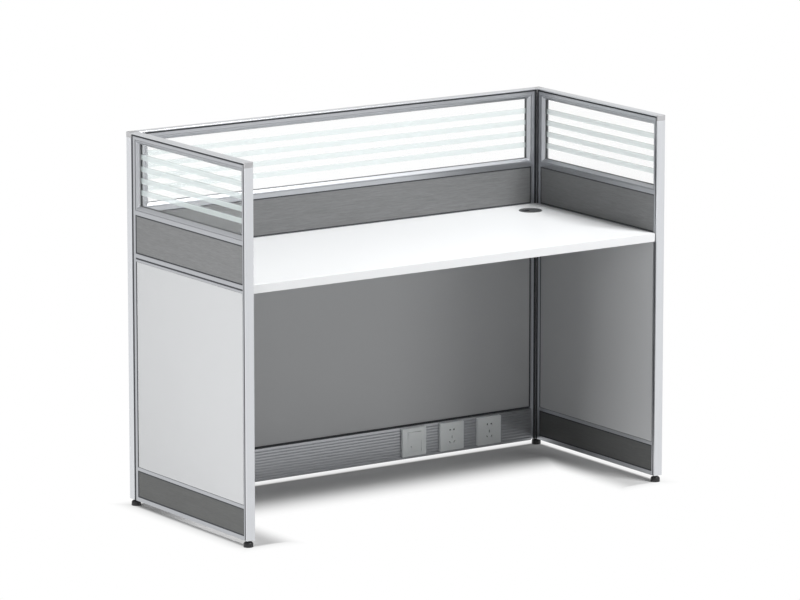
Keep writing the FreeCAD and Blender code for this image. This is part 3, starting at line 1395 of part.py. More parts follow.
def make_rocker(x):
    """The switch rocker: a dished paddle on two pivot pins, with a lens window."""
    body = new_body("switch_rocker_body")
    half = dim.rocker_height / 2
    front = dim.rocker_pivot_depth - dim.outlet_plate_depth - dim.rocker_proud
    rear = front + dim.rocker_thickness
    hub = dim.rocker_hub_height / 2
    width = dim.rocker_width
    section = new_sketch(body, "YZ_Plane", "rocker_section", -width / 2)
    draw_polygon(section, [(front, -half), (front + dim.rocker_dish, ZERO), (front, half),
                           (rear, half), (rear, hub), (dim.rocker_hub_rear, hub),
                           (dim.rocker_hub_rear, -hub), (rear, -hub), (rear, -half)])
    pad(body, section, "rocker_paddle", width)
    pins = new_sketch(body, "YZ_Plane", "rocker_pin_section",
                      -width / 2 - dim.rocker_pin_length)
    draw_circle(pins, ZERO, ZERO, dim.rocker_pin_radius)
    pad(body, pins, "rocker_pins", width + dim.rocker_pin_length * 2)
    lens = new_sketch(body, "XZ_Plane", "lens_outline", -front)
    side = -dim.indicator_offset
    half_width = dim.indicator_width / 2
    half_height = dim.indicator_height / 2
    draw_rectangle(lens, side - half_width, -dim.indicator_drop - half_height,
                   side + half_width, -dim.indicator_drop + half_height)
    pocket(body, lens, "lens_recess", dim.indicator_depth + dim.rocker_dish)
    place(body, x, raceway_face - dim.rocker_pivot_depth, outlet_level,
          Rotation(Vector(1, 0, 0), ROCKER_REST_DEGREES))
    return node(body, "switch_rocker")


def make_outlet_screws():
    """Two screws to each outlet, through flange and cover into the wall box."""
    screws = []
    for x in outlet_places():
        for side in (-1, 1):
            screw = make_screw("outlet_screw_%d" % len(screws), dim.outlet_screw_radius,
                               dim.outlet_screw_length, dim.outlet_screw_head_radius,
                               dim.outlet_screw_head_height)
            place(screw, x + dim.outlet_screw_offset * side,
                  raceway_face - dim.outlet_flange_thickness, outlet_level,
                  Rotation(Vector(1, 0, 0), -90))
            screws.append(screw)
    return node(group("outlet_screw_set", screws), "outlet_screws")


def build_partition(part):
    make_rails(part)
    if part is back:
        make_stile(part, "left_stile", ZERO, dim.neck_width, dim.stile_face, False)
        make_stile(part, "right_stile", part.length, dim.neck_width, dim.stile_face, True)
        make_boards(part, "skirting", ["far"])
    else:
        make_stile(part, "rear_stile", ZERO, dim.neck_width, dim.stile_face, False)
        make_stile(part, "front_stile", part.length, dim.front_neck_width,
                   dim.front_stile_face, True)
        make_boards(part, "skirting", ["near", "far"])
    make_boards(part, "lower", ["near", "far"])
    make_boards(part, "upper", ["near", "far"])
    make_core_fill(part)
    make_glass(part)
    make_beads(part)
    make_seals(part)
    make_top_cover(part)


def build_outlets():
    switch_x, first_x, second_x = outlet_places()
    make_raceway_cover()
    make_outlet_boxes()
    make_outlet_bodies()
    make_outlet_screws()
    make_contacts()
    make_plate("switch_plate", switch_x, rocker_opening)
    make_rocker(switch_x)
    make_plate("socket_plate_1", first_x, pin_holes)
    make_plate("socket_plate_2", second_x, pin_holes)
    make_shutter("socket_shutter_1", first_x)
    make_shutter("socket_shutter_2", second_x)


def build():
    for part in PARTITIONS:
        build_partition(part)
    make_post("left_corner_post", -1)
    make_post("right_corner_post", 1)
    make_end_covers()
    make_caps()
    for name, (x, y) in foot_places().items():
        make_foot(name, x, y)
    make_foot_inserts()
    make_worktop()
    make_edge_band()
    make_brackets()
    make_bracket_screws()
    make_grommet_ring()
    make_grommet_lid()
    build_outlets()
    doc.recompute()


def check_and_write():
    """Stop on any failed object or shape, then write one file for each sub-part."""
    failed = [item.Name for item in doc.Objects
              if "Invalid" in item.State or "Error" in item.State]
    if failed:
        raise RuntimeError("failed objects: %s" % ", ".join(failed))
    for item in nodes:
        if item.Shape.isNull() or not item.Shape.isValid():
            raise RuntimeError("bad shape: %s" % item.Label)
    os.makedirs("parts", exist_ok=True)
    for item in nodes:
        item.Shape.exportStep(os.path.join("parts", item.Label + ".step"))
        solids = item.Shape.Solids
        volume = sum(solid.Volume for solid in solids)
        print("%-24s solids %3d  volume %12.1f mm3" % (item.Label, len(solids), volume))
    print("sub-parts: %d" % len(nodes))


build()
check_and_write()
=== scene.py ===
"""Cubicle workstation: finishes, small fittings, stage and camera."""
import math

import bmesh
import bpy
from bpy.props import FloatProperty, FloatVectorProperty, IntProperty, PointerProperty
from bpy.types import Operator, Panel, PropertyGroup
from mathutils import Matrix, Vector


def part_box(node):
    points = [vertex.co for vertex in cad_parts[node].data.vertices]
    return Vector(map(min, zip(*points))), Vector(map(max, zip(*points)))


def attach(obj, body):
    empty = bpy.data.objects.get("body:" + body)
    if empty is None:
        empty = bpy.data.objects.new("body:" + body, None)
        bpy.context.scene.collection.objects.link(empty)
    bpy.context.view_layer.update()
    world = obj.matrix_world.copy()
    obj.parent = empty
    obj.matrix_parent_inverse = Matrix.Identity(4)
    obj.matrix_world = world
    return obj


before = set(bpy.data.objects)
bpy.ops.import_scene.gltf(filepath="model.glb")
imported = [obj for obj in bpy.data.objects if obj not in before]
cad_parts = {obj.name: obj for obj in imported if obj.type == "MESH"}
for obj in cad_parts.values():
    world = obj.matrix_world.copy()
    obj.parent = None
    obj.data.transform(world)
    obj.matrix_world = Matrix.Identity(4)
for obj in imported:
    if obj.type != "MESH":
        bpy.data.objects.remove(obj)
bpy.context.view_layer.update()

bl_info = {
    "name": "Cubicle Workstation",
    "version": (1, 0, 0),
    "blender": (4, 5, 0),
    "location": "View3D > Sidebar > Workstation",
    "description": "Finishes and fittings of a framed office cubicle",
    "category": "Object",
}

PARTITIONS = ("left", "back", "right")
FEET = ("rear_left_foot", "front_left_foot", "front_right_foot", "rear_right_foot")

# Lengths in metres.
HALF_WIDTH, HALF_DEPTH = 0.728, 0.317  # from the middle to the outer faces
INNER_HALF_WIDTH, INNER_BACK = 0.70, 0.289  # faces that the user sees
SIDE_PLANE, BACK_PLANE = 0.714, 0.303  # middles of the partitions
GASKET_REACH = 0.007  # gaskets reach this far from a partition's middle
OUTLET_BORE_SHADE_TOP = 0.7487  # just above the underside of the cable outlet's lid; below it the outlet's plastic is painted near-black as shade in the bore
ROCKER_AXIS_Y = 0.275  # pins that the switch rocker tilts on
FLOOR_HALF_SIZE, FLOOR_DROP = 30.0, 0.0002

# Colours that no panel setting changes.
HONEYCOMB_PAPER = (0.45, 0.33, 0.20)
POWDER_COAT = (0.10, 0.105, 0.11)
ZINC = (0.55, 0.55, 0.54)
BRASS = (0.62, 0.42, 0.16)
WALL_BOX = (0.55, 0.55, 0.53)
NYLON = (0.02, 0.02, 0.02)
FLOOR_GREY = (0.50, 0.50, 0.50, 1.0)

# Name, place, aim, size, power in watts, and whether the metal mirrors it.
LAMPS = (
    ("key_softbox", (1.35, -2.4, 4.4), (0, 0, 0.7), (1.1, 1.1), 240.0, True),
    ("left_softbox", (-3.4, -0.55, 0.7), (0, -0.1, 0.6), (1.0, 1.1), 82.0, False),
    ("front_softbox", (3.1, -4.3, 0.65), (0, 0, 0.5), (1.6, 0.9), 34.0, False),
    ("right_softbox", (3.4, 0.35, 0.62), (0, 0.1, 0.6), (1.5, 1.0), 50.0, False),
    ("rear_softbox", (-0.3, 3.8, 1.0), (0, 0.2, 0.6), (2.0, 1.0), 60.0, False),
)
WORLD_LIGHT = 0.30  # strength of the surroundings as light; they show as 1

CAMERA_PLACE = (-8.5277, -12.6052, 3.6414)
CAMERA_DOWN, CAMERA_TURN = 11.3829, -34.0988  # degrees
CAMERA_LENS = 239.785  # millimetres


def colour_property(name, description, default):
    """A colour that the panel shows as a swatch."""
    return FloatVectorProperty(name=name, description=description, subtype="COLOR", size=3,
                               min=0.0, max=1.0, default=default)


def length_property(name, description, default):
    """A length in metres."""
    return FloatProperty(name=name, description=description, default=default, min=0.0,
                         subtype="DISTANCE", unit="LENGTH", precision=4)


class FrameLooks(PropertyGroup):
    """Finishes of the metal frame and its plastic fittings."""
    covers: colour_property("Covers", "Anodised posts, end covers and top covers",
                            (0.67, 0.685, 0.71))
    rails: colour_property("Rails", "Anodised rails, stiles and beads", (0.45, 0.462, 0.485))
    caps: colour_property("Caps", "Plastic caps over the posts", (0.40, 0.40, 0.41))
    seals: colour_property("Seals", "Strips in the joints and necks", (0.036, 0.038, 0.042))
    gaskets: colour_property("Gaskets", "Gaskets round the window panes", (0.17, 0.175, 0.18))
    feet: colour_property("Feet", "Levelling feet", (0.012, 0.012, 0.013))


class BoardLooks(PropertyGroup):
    """Finishes of boards, glass and worktop."""
    plain: colour_property("Plain board", "Pale plain boards", (0.445, 0.452, 0.46))
    grained: colour_property("Grained board", "Boards under the windows",
                             (0.150, 0.153, 0.155))
    skirting: colour_property("Skirting board", "Darker grained boards at the bottom",
                              (0.077, 0.079, 0.078))
    worktop: colour_property("Worktop", "Laminate of the worktop", (0.90, 0.91, 0.92))
    edging: colour_property("Edging", "Plastic edging of the worktop", (0.74, 0.75, 0.76))
    frosting: colour_property("Frosting", "Frosted bands of the windows", (0.78, 0.86, 0.855))
    band_width: length_property("Band width", "Height of one frosted band", 0.0155)
    band_pitch: length_property("Band pitch", "From one frosted band to the next", 0.0345)
    band_first: length_property("First band", "Middle of the lowest band above the floor", 0.9295)
    band_count: IntProperty(name="Bands", description="Frosted bands of a window", default=4,
                            min=1)


class OutletLooks(PropertyGroup):
    """Finishes of the raceway and its outlets."""
    raceway: colour_property("Raceway", "Ribbed raceway cover", (0.44, 0.45, 0.47))
    plates: colour_property("Plates", "Outlet plates and rocker", (0.82, 0.85, 0.85))
    # near-black sockets: partly their own dark plastic, partly painted shade seen in the pin holes
    sockets: colour_property("Sockets", "Socket bodies behind the plates", (0.02, 0.02, 0.021))
    grommet: colour_property("Cable outlet", "Ring and lid in the worktop", (0.075, 0.079, 0.082))
    lens: colour_property("Lens", "Small lens in the switch rocker", (0.30, 0.31, 0.31))


class FootLooks(PropertyGroup):
    """Ribs round the levelling feet."""
    rib_count: IntProperty(name="Ribs", description="Grip ribs round each foot", default=18, min=3)
    rib_depth: length_property("Rib depth", "Depth of one grip rib", 0.0032)
    rib_width: length_property("Rib width", "Width of one grip rib", 0.0016)
    rib_height: length_property("Rib height", "Height of one grip rib", 0.006)
    rib_radius: length_property("Rib radius", "From the foot's middle to a rib's middle", 0.0113)
    rib_place: length_property("Rib place", "From the floor to a rib's middle", 0.0108)
    rib_lean: FloatProperty(name="Rib lean", description="Lean of a rib along the dome",
                            default=0.53, subtype="ANGLE")


class Value:
    """A node output that can be used in a sum like a number."""

    def __init__(self, graph, socket):
        self.graph = graph
        self.socket = socket

    def __add__(self, other):
        return self.graph.worked("ADD", self, other)

    def __sub__(self, other):
        return self.graph.worked("SUBTRACT", self, other)

    def __rsub__(self, other):
        return self.graph.worked("SUBTRACT", other, self)

    def __mul__(self, other):
        return self.graph.worked("MULTIPLY", self, other)

    def __mod__(self, other):
        return self.graph.worked("FLOORED_MODULO", self, other)

    def __gt__(self, other):
        return self.graph.worked("GREATER_THAN", self, other)

    def __lt__(self, other):
        return self.graph.worked("LESS_THAN", self, other)


class Graph:
    """The node tree of one material."""

    def __init__(self, tree):
        self.tree = tree
        tree.nodes.clear()

    def add(self, kind, settings=None, inputs=None, output=0):
        """Add a node, set it up, fill its sockets and return one output."""
        node = self.tree.nodes.new(kind)
        for key, value in (settings or {}).items():
            if key == "stops":
                self.set_stops(node.color_ramp, value)
            else:
                setattr(node, key, value)
        for key, value in (inputs or {}).items():
            if isinstance(value, Value):
                self.tree.links.new(value.socket, node.inputs[key])
            else:
                node.inputs[key].default_value = value
        return Value(self, node.outputs[output]) if node.outputs else None

    @staticmethod
    def set_stops(ramp, stops):
        """Give a colour ramp its grey stops."""
        while len(ramp.elements) < len(stops):
            ramp.elements.new(0.5)
        for element, (position, shade) in zip(ramp.elements, stops):
            element.position = position
            element.color = (shade, shade, shade, 1.0)

    def worked(self, operation, *values):
        """One step of arithmetic."""
        return self.add("ShaderNodeMath", {"operation": operation}, dict(enumerate(values)))

    def place(self):
        """Where a point is on the object, in metres."""
        return self.add("ShaderNodeTexCoord", output="Object")

    def part_of_place(self, axis):
        """One coordinate of that place."""
        return self.add("ShaderNodeSeparateXYZ", inputs={0: self.place()}, output=axis)

    def noise(self, scale, detail=2.0, roughness=0.5):
        """Noise from 0 to 1, stretched by a scale for each axis."""
        stretched = self.add("ShaderNodeMapping", inputs={"Vector": self.place(), "Scale": scale})
        return self.add("ShaderNodeTexNoise",
                        inputs={"Vector": stretched, "Scale": 1.0, "Detail": detail,
                                "Roughness": roughness})

    def shades(self, factor, dark, light):
        """Between two colours."""
        return self.add("ShaderNodeMix", {"data_type": "RGBA"},
                        {0: factor, 6: (*dark, 1.0), 7: (*light, 1.0)}, output=2)

    def bump(self, height, depth, strength):
        """Relief in the shading, of the given depth in metres."""
        return self.add("ShaderNodeBump", inputs={"Strength": strength, "Distance": depth,
                                                  "Height": height})

    def showing_rays(self):
        """Above 0 for rays from the camera, reflected rays and rays through glass."""
        path = self.tree.nodes.new("ShaderNodeLightPath")
        camera, glossy, transmission = (
            Value(self, path.outputs["Is %s Ray" % kind])
            for kind in ("Camera", "Glossy", "Transmission"))
        return camera + glossy + transmission

    def surface(self, **inputs):
        """The material's main shader, wired to its output."""
        named = {key.replace("_", " "): value for key, value in inputs.items()}
        shader = self.add("ShaderNodeBsdfPrincipled", inputs=named)
        self.add("ShaderNodeOutputMaterial", inputs={"Surface": shader})


def lighter(colour, share):
    """A colour made lighter or darker by a share."""
    return tuple(min(1.0, part * share) for part in colour)


def new_graph(name):
    """A new material and its empty node tree."""
    material = bpy.data.materials.new(name)
    material.use_nodes = True
    return material, Graph(material.node_tree)


def ramp(graph, value, low, high):
    """Stretch a middle range of a value to 0 to 1."""
    return graph.add("ShaderNodeValToRGB", {"stops": [(low, 0.0), (high, 1.0)]}, {0: value})


def anodised(name, colour, upright, metal=0.85, roughness=0.30):
    """Matt anodised aluminium with faint drawing lines along the section."""
    material, graph = new_graph(name)
    lines = (1400.0, 1400.0, 2.0) if upright else (2.0, 2.0, 1400.0)
    drawn = graph.noise(lines, 3.0, 0.6)
    cloud = graph.noise((5.0, 5.0, 5.0), 2.0)
    grain = graph.noise((2600.0, 2600.0, 2600.0), 1.0)
    tone = drawn * 0.55 + cloud * 0.25 + grain * 0.20
    graph.surface(
        Base_Color=graph.shades(ramp(graph, tone, 0.3, 0.7), lighter(colour, 0.95),
                                lighter(colour, 1.04)),
        Metallic=metal,
        Roughness=drawn * 0.10 + grain * 0.06 + (roughness - 0.08),
        Normal=graph.bump(drawn * 0.7 + grain * 0.3, 0.00003, 0.5),
    )
    return material


def grained(name, colour):
    """Laminate printed and pressed with a fine horizontal grain."""
    material, graph = new_graph(name)
    fine = graph.noise((26.0, 26.0, 640.0), 4.0, 0.62)
    broad = graph.noise((9.0, 9.0, 150.0), 3.0, 0.55)
    thread = graph.noise((60.0, 60.0, 1500.0), 2.0, 0.5)
    tone = fine * 0.50 + broad * 0.20 + thread * 0.30
    graph.surface(
        Base_Color=graph.shades(ramp(graph, tone, 0.36, 0.64), lighter(colour, 0.78),
                                lighter(colour, 1.22)),
        Roughness=fine * 0.16 + 0.46,
        Normal=graph.bump(fine * 0.6 + thread * 0.4, 0.00012, 0.6),
    )
    return material


def laminate(name, colour, roughness=0.36, speckled=1.0):
    """Smooth laminate with a faint pressed texture."""
    material, graph = new_graph(name)
    pearl = graph.noise((1500.0, 1500.0, 1500.0), 2.0, 0.55)
    cloud = graph.noise((2.5, 2.5, 2.5), 2.0)
    tone = ramp(graph, pearl * 0.6 + cloud * 0.4, 0.3, 0.7)
    graph.surface(
        Base_Color=graph.shades(tone, lighter(colour, 1.0 - 0.015 * speckled),
                                lighter(colour, 1.0 + 0.01 * speckled)),
        Roughness=pearl * 0.08 + (roughness - 0.04),
        Normal=graph.bump(pearl, 0.00002, 0.4),
    )
    return material


def moulded(name, colour, roughness, depth=0.00005, cells=1700.0, painted_shade_below=-1.0):
    """Moulded plastic with a fine grain, painted near-black below a given height as shade in a
    bore.
    """
    material, graph = new_graph(name)
    grain = graph.noise((cells, cells, cells), 3.0, 0.6)
    cloud = graph.noise((14.0, 14.0, 14.0), 2.0)
    mottle = ramp(graph, grain * 0.6 + cloud * 0.4, 0.3, 0.7)
    # tone is the random mottle, and it drops to 0 below the given height, which paints the shade
    # of a bore near-black
    tone = (mottle * 0.1 + 0.9) * (graph.part_of_place(2) > painted_shade_below)
    graph.surface(
        Base_Color=graph.shades(tone, lighter(colour, 0.06), lighter(colour, 1.05)),
        Roughness=grain * 0.14 + (roughness - 0.07),
        Normal=graph.bump(grain, depth, 0.5),
    )
    return material


def strip_rubber(name, strip, gasket):
    """Rubber of the joint strips, paler on the gaskets near a partition's middle."""
    material, graph = new_graph(name)
    across = graph.worked("ABSOLUTE", graph.part_of_place(0))
    from_side = graph.worked("ABSOLUTE", across - SIDE_PLANE)
    from_back = graph.worked("ABSOLUTE", graph.part_of_place(1) - BACK_PLANE)
    on_gasket = graph.worked("MINIMUM", from_side, from_back) < GASKET_REACH
    grain = graph.noise((900.0, 900.0, 900.0), 3.0, 0.6)
    graph.surface(
        Base_Color=graph.shades(on_gasket, strip, gasket),
        Roughness=grain * 0.14 + 0.65,
        Normal=graph.bump(grain, 0.00008, 0.5),
    )
    return material


def banded_glass(name, looks):
    """Clear glass with frosted horizontal bands."""
    material, graph = new_graph(name)
    height = graph.part_of_place(2)
    start = looks.band_first - looks.band_width / 2
    top = looks.band_first + looks.band_pitch * (looks.band_count - 0.5)
    step = (height - start) % looks.band_pitch
    band = (step < looks.band_width) * (height > start) * (height < top)
    frost = graph.noise((2200.0, 2200.0, 2200.0), 3.0, 0.6)
    tint = lighter(looks.frosting, 1.08)
    graph.surface(
        Base_Color=graph.shades(band, tint, looks.frosting),
        Roughness=band * (frost * 0.2 + 0.35) + 0.04,
        Alpha=band * (frost * 0.10 + 0.51) + 0.05,
        Normal=graph.bump(frost * band, 0.00003, 0.4),
        Transmission_Weight=0.72,
        IOR=1.5,
    )
    return material


def cellular(name, colour):
    """Paper honeycomb seen as a field of small cells, whose middles are painted darker as shade in
    the hollows.
    """
    material, graph = new_graph(name)
    cells = graph.add("ShaderNodeTexVoronoi", {"feature": "DISTANCE_TO_EDGE"},
                      {"Vector": graph.place(), "Scale": 70.0})
    hollow_depth_and_shade = ramp(graph, cells, 0.03, 0.09)
    fibre = graph.noise((600.0, 600.0, 60.0), 3.0)
    # cell middles get 0.35 of the paper colour as painted shade in the hollow cells; the same mask
    # presses them in with the bump
    graph.surface(Base_Color=graph.shades(hollow_depth_and_shade, colour, lighter(colour, 0.35)),
                  Roughness=fibre * 0.1 + 0.8,
                  Normal=graph.bump(hollow_depth_and_shade * -1.0 + fibre * 0.1, 0.002, 0.6))
    return material


def plated(name, colour, roughness=0.3):
    """Plated or bare sheet metal with fine wear."""
    material, graph = new_graph(name)
    wear = graph.noise((260.0, 260.0, 260.0), 4.0, 0.6)
    graph.surface(Base_Color=graph.shades(ramp(graph, wear, 0.3, 0.7), lighter(colour, 0.8),
                                          lighter(colour, 1.1)),
                  Metallic=1.0, Roughness=wear * 0.2 + (roughness - 0.1),
                  Normal=graph.bump(wear, 0.00005, 0.5))
    return material


def give(material, *names):
    """Put a finish on CAD nodes."""
    for name in names:
        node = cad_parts[name]
        if not node.material_slots:
            node.data.materials.append(material)
        for slot in node.material_slots:
            slot.material = material


def new_object(bm, name, material):
    """Turn a bmesh into an object of the scene."""
    mesh = bpy.data.meshes.new(name)
    bm.to_mesh(mesh)
    bm.free()
    mesh.materials.append(material)
    made = bpy.data.objects.new(name, mesh)
    bpy.context.scene.collection.objects.link(made)
    return made


def finish_piece(bm, name, body, material):
    """Turn a bmesh into a smooth piece that rides on a body."""
    bmesh.ops.recalc_face_normals(bm, faces=bm.faces)
    piece = new_object(bm, name, material)
    piece.data.shade_smooth()
    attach(piece, body)


def soft_block(size, radius, segments=2):
    """A bmesh of a block with rounded edges, centred on the origin."""
    bm = bmesh.new()
    bmesh.ops.create_cube(bm, size=1.0)
    bmesh.ops.scale(bm, vec=size, verts=bm.verts)
    bmesh.ops.bevel(bm, geom=bm.edges[:], offset=radius, offset_type="OFFSET",
                    segments=segments, profile=0.5, affect="EDGES", material=-1,
                    clamp_overlap=True)
    return bm


class WORKSTATION_OT_frame(Operator):
    """Finish the rails, stiles, posts, covers, beads and seals"""
    bl_idname = "workstation.frame"
    bl_label = "Frame"

    def execute(self, context):
        looks = context.scene.workstation_frame
        give(anodised("anodised_post", looks.covers, True), "left_corner_post",
             "right_corner_post", "front_end_covers")
        give(anodised("anodised_stile", looks.rails, True), "left_rear_stile",
             "left_front_stile", "back_left_stile", "back_right_stile", "right_rear_stile",
             "right_front_stile")
        cover = anodised("anodised_cover", looks.covers, False)
        rail = anodised("anodised_rail", looks.rails, False)
        for part in PARTITIONS:
            give(cover, part + "_top_cover")
            give(rail, part + "_rails", part + "_glazing_beads")
        rubber = strip_rubber("seal_rubber", looks.seals, looks.gaskets)
        give(rubber, *[part + "_seals" for part in PARTITIONS])
        give(moulded("cap_plastic", looks.caps, 0.48), "post_caps")
        return {"FINISHED"}


class WORKSTATION_OT_boards(Operator):
    """Finish the boards and the filling between them"""
    bl_idname = "workstation.boards"
    bl_label = "Boards"

    def execute(self, context):
        looks = context.scene.workstation_boards
        give(grained("grained_board", looks.grained),
             *[part + "_upper_boards" for part in PARTITIONS])
        give(grained("skirting_board", looks.skirting),
             *[part + "_skirting_boards" for part in PARTITIONS])
        give(laminate("plain_laminate", looks.plain, 0.44, 1.6),
             *[part + "_lower_boards" for part in PARTITIONS])
        paper = cellular("paper_honeycomb", HONEYCOMB_PAPER)
        give(paper, *[part + "_honeycomb_fill" for part in PARTITIONS])
        return {"FINISHED"}


class WORKSTATION_OT_windows(Operator):
    """Finish the window panes"""
    bl_idname = "workstation.windows"
    bl_label = "Windows"

    def execute(self, context):
        glass = banded_glass("banded_glass", context.scene.workstation_boards)
        give(glass, *[part + "_glass" for part in PARTITIONS])
        return {"FINISHED"}


class WORKSTATION_OT_worktop(Operator):
    """Finish the worktop, its edging, its cable outlet and what carries it"""
    bl_idname = "workstation.worktop"
    bl_label = "Worktop"

    def execute(self, context):
        looks = context.scene.workstation_boards
        give(laminate("white_laminate", looks.worktop), "worktop")
        give(laminate("white_edging", looks.edging, 0.42), "worktop_edge_band")
        outlet = context.scene.workstation_outlets
        # ring and lid plastic is painted near-black below the lid's underside, as shade in the
        # cable outlet's bore
        ring = moulded("outlet_ring_plastic_shaded_bore", outlet.grommet, 0.42, painted_shade_below=OUTLET_BORE_SHADE_TOP)
        give(ring, "grommet_ring", "grommet_lid")
        give(moulded("bracket_powder_coat", POWDER_COAT, 0.55, 0.0001, 800.0),
             "worktop_brackets")
        give(plated("zinc_plate", ZINC), "bracket_screws")
        return {"FINISHED"}


class WORKSTATION_OT_outlets(Operator):
    """Finish the raceway and outlets, and add the lens in the rocker"""
    bl_idname = "workstation.outlets"
    bl_label = "Raceway and outlets"

    def execute(self, context):
        looks = context.scene.workstation_outlets
        give(anodised("ribbed_aluminium", looks.raceway, False, 0.8, 0.35), "raceway_cover")
        plate = moulded("plate_plastic", looks.plates, 0.34, 0.00002, 2200.0)
        give(plate, "switch_plate", "switch_rocker", "socket_plate_1", "socket_plate_2")
        # socket bodies and shutters are near-black, partly their own dark plastic and partly
        # painted shade seen in the pin holes
        dark = moulded("socket_body_plastic", looks.sockets, 0.6)
        give(dark, "outlet_bodies", "socket_shutter_1", "socket_shutter_2")
        give(moulded("wall_box_plastic", WALL_BOX, 0.6), "outlet_boxes")
        give(plated("outlet_screw_zinc", ZINC), "outlet_screws")
        give(plated("contact_brass", BRASS, 0.35), "socket_contacts")
        self.add_lens(looks)
        return {"FINISHED"}

    def add_lens(self, looks):
        """A small lens in the rocker's recess, low on its left."""
        size, rounding = (0.0029, 0.0010, 0.0049), 0.0004
        from_axis = (-0.012, -0.0047, -0.014)
        rest_tilt = math.radians(4.0)
        low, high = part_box("switch_rocker")
        middle = (Vector(low) + Vector(high)) / 2
        axis = Matrix.Translation((middle.x, ROCKER_AXIS_Y, middle.z))
        bm = soft_block(size, rounding, 3)
        bmesh.ops.translate(bm, vec=from_axis, verts=bm.verts)
        bmesh.ops.transform(bm, matrix=axis @ Matrix.Rotation(rest_tilt, 4, "X"),
                            verts=bm.verts)
        lens = moulded("rocker_lens", looks.lens, 0.2, 0.00001)
        finish_piece(bm, "rocker_lens", "switch_rocker", lens)


class WORKSTATION_OT_feet(Operator):
    """Finish the levelling feet and add their grip ribs"""
    bl_idname = "workstation.feet"
    bl_label = "Feet"

    def execute(self, context):
        looks = context.scene.workstation_feet
        black = moulded("foot_plastic", context.scene.workstation_frame.feet, 0.45)
        give(black, *FEET)
        give(moulded("insert_nylon", NYLON, 0.6), "foot_inserts")
        for name in FEET:
            self.add_ribs(name, looks, black)
        return {"FINISHED"}

    def add_ribs(self, name, looks, material):
        """A ring of ribs that leans on the dome of one foot."""
        rounding = 0.0004
        low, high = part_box(name)
        middle = (Vector(low) + Vector(high)) / 2
        rib = soft_block((looks.rib_depth, looks.rib_width, looks.rib_height), rounding)
        lean = Matrix.Rotation(-looks.rib_lean, 3, "Y")
        bmesh.ops.rotate(rib, cent=(0, 0, 0), matrix=lean, verts=rib.verts)
        bmesh.ops.translate(rib, vec=(looks.rib_radius, 0.0, looks.rib_place), verts=rib.verts)
        step = Matrix.Rotation(math.tau / looks.rib_count, 3, "Z")
        stamp = bpy.data.meshes.new("rib")
        bm = bmesh.new()
        for _ in range(looks.rib_count):
            rib.to_mesh(stamp)
            bm.from_mesh(stamp)
            bmesh.ops.rotate(rib, cent=(0, 0, 0), matrix=step, verts=rib.verts)
        rib.free()
        bpy.data.meshes.remove(stamp)
        bmesh.ops.translate(bm, vec=(middle.x, middle.y, 0.0), verts=bm.verts)
        finish_piece(bm, name + "_ribs", name, material)


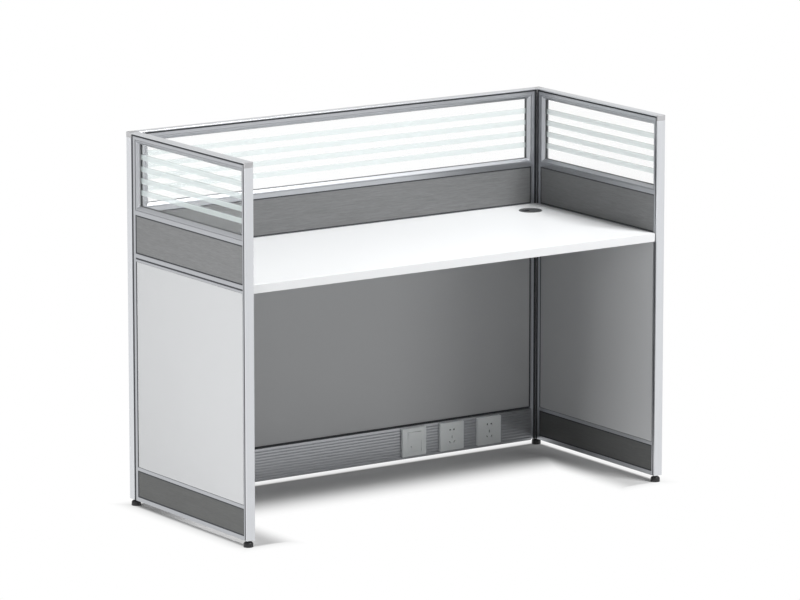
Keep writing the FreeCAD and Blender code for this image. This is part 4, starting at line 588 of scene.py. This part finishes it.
class WORKSTATION_OT_stage(Operator):
    """Add the floor, the lamps, the surroundings and the camera"""
    bl_idname = "workstation.stage"
    bl_label = "Stage"

    def execute(self, context):
        self.add_floor()
        for lamp in LAMPS:
            self.add_lamp(*lamp)
        self.light_world(context.scene)
        self.add_camera(context.scene)
        context.scene.view_settings.view_transform = "Standard"
        return {"FINISHED"}

    def add_floor(self):
        """A grey floor that turns to a plain white glow away from the workstation. Under the
        worktop and beside the partitions the glow is painted light over their real shadow, and its
        fade paints that shadow's soft edge.
        """
        material, graph = new_graph("floor_paint")
        across = graph.worked("ABSOLUTE", graph.part_of_place(0))
        along = graph.part_of_place(1)
        outside = graph.worked("MAXIMUM", across - HALF_WIDTH,
                               graph.worked("ABSOLUTE", along) - HALF_DEPTH)
        # fade lengths shape that painted light: at_wall lifts about 70 per cent of the shadow even
        # at a partition's outer foot, and side_fade keeps the shadow narrow beside the side
        # partitions
        near_fade, far_fade, at_wall, side_fade = 8.0, 1.5, 0.26, 2.2
        beyond = graph.worked("MINIMUM", outside * near_fade, outside * far_fade) + at_wall
        within = graph.worked("MINIMUM", (INNER_HALF_WIDTH - across) * side_fade,
                              INNER_BACK - along)
        starts, ends = 0.12, 0.34
        away = graph.add("ShaderNodeMapRange", {"interpolation_type": "SMOOTHSTEP"},
                         {"Value": graph.worked("MAXIMUM", beyond, within),
                          "From Min": starts, "From Max": ends})
        lit = graph.add("ShaderNodeBsdfDiffuse", inputs={"Color": FLOOR_GREY})
        glow = graph.add("ShaderNodeEmission", inputs={"Strength": 1.0})
        # by this share the camera sees white glow in place of the lit floor, which paints light
        # over the shadow near the workstation
        white = graph.add("ShaderNodeMixShader",
                          inputs={0: graph.showing_rays() * away, 1: lit, 2: glow})
        graph.add("ShaderNodeOutputMaterial", inputs={"Surface": white})
        bm = bmesh.new()
        bmesh.ops.create_grid(bm, x_segments=1, y_segments=1, size=FLOOR_HALF_SIZE)
        bmesh.ops.translate(bm, vec=(0, 0, -FLOOR_DROP), verts=bm.verts)
        new_object(bm, "floor", material)

    def add_lamp(self, name, place, target, size, power, mirrored):
        """A rectangular lamp that isn't seen through glass."""
        lamp = bpy.data.lights.new(name, "AREA")
        lamp.shape = "RECTANGLE"
        lamp.size, lamp.size_y = size
        lamp.energy = power
        holder = bpy.data.objects.new(name, lamp)
        bpy.context.scene.collection.objects.link(holder)
        holder.location = place
        holder.visible_camera = False
        holder.visible_glossy = mirrored
        holder.visible_transmission = False
        aim = Vector(target) - Vector(place)
        holder.rotation_mode = "QUATERNION"
        holder.rotation_quaternion = aim.to_track_quat("-Z", "Y")

    def light_world(self, scene):
        """Surroundings that show as white and light the workstation less."""
        world = bpy.data.worlds.new("surroundings")
        scene.world = world
        world.use_nodes = True
        graph = Graph(world.node_tree)
        shows = graph.worked("MINIMUM", graph.showing_rays(), 1.0)
        strength = shows * (1.0 - WORLD_LIGHT) + WORLD_LIGHT
        sky = graph.add("ShaderNodeBackground", inputs={"Strength": strength})
        graph.add("ShaderNodeOutputWorld", inputs={"Surface": sky})

    def add_camera(self, scene):
        """A long-lens camera to the left of the open front, a little above it."""
        data = bpy.data.cameras.new("camera")
        camera = bpy.data.objects.new("camera", data)
        scene.collection.objects.link(camera)
        data.sensor_width = 36.0
        data.sensor_fit = "HORIZONTAL"
        data.lens = CAMERA_LENS
        data.clip_start, data.clip_end = 0.1, 200.0
        camera.location = CAMERA_PLACE
        camera.rotation_euler = (math.radians(90.0 - CAMERA_DOWN), 0.0,
                                 math.radians(CAMERA_TURN))
        scene.camera = camera


OPERATORS = (WORKSTATION_OT_frame, WORKSTATION_OT_boards, WORKSTATION_OT_windows,
             WORKSTATION_OT_worktop, WORKSTATION_OT_outlets, WORKSTATION_OT_feet,
             WORKSTATION_OT_stage)
GROUPS = {"workstation_frame": FrameLooks, "workstation_boards": BoardLooks,
          "workstation_outlets": OutletLooks, "workstation_feet": FootLooks}


class WORKSTATION_PT_pieces(Panel):
    """Sizes and colours of the workstation, and the steps that make it"""
    bl_label = "Workstation"
    bl_idname = "WORKSTATION_PT_pieces"
    bl_space_type = "VIEW_3D"
    bl_region_type = "UI"
    bl_category = "Workstation"

    def draw(self, context):
        """List every setting, then a button for every step."""
        for key, kind in GROUPS.items():
            settings = getattr(context.scene, key)
            column = self.layout.column(align=True)
            for name in kind.__annotations__:
                column.prop(settings, name)
        for operator in OPERATORS:
            self.layout.operator(operator.bl_idname)


CLASSES = tuple(GROUPS.values()) + OPERATORS + (WORKSTATION_PT_pieces,)


def register():
    """Register the classes and hang the settings on the scene."""
    for item in CLASSES:
        bpy.utils.register_class(item)
    for key, kind in GROUPS.items():
        setattr(bpy.types.Scene, key, PointerProperty(type=kind))


def unregister():
    """Undo register."""
    for key in GROUPS:
        delattr(bpy.types.Scene, key)
    for item in reversed(CLASSES):
        bpy.utils.unregister_class(item)


def main():
    """Run every step."""
    register()
    for operator in OPERATORS:
        group, action = operator.bl_idname.split(".")
        getattr(getattr(bpy.ops, group), action)()


if __name__ == "__main__":
    main()
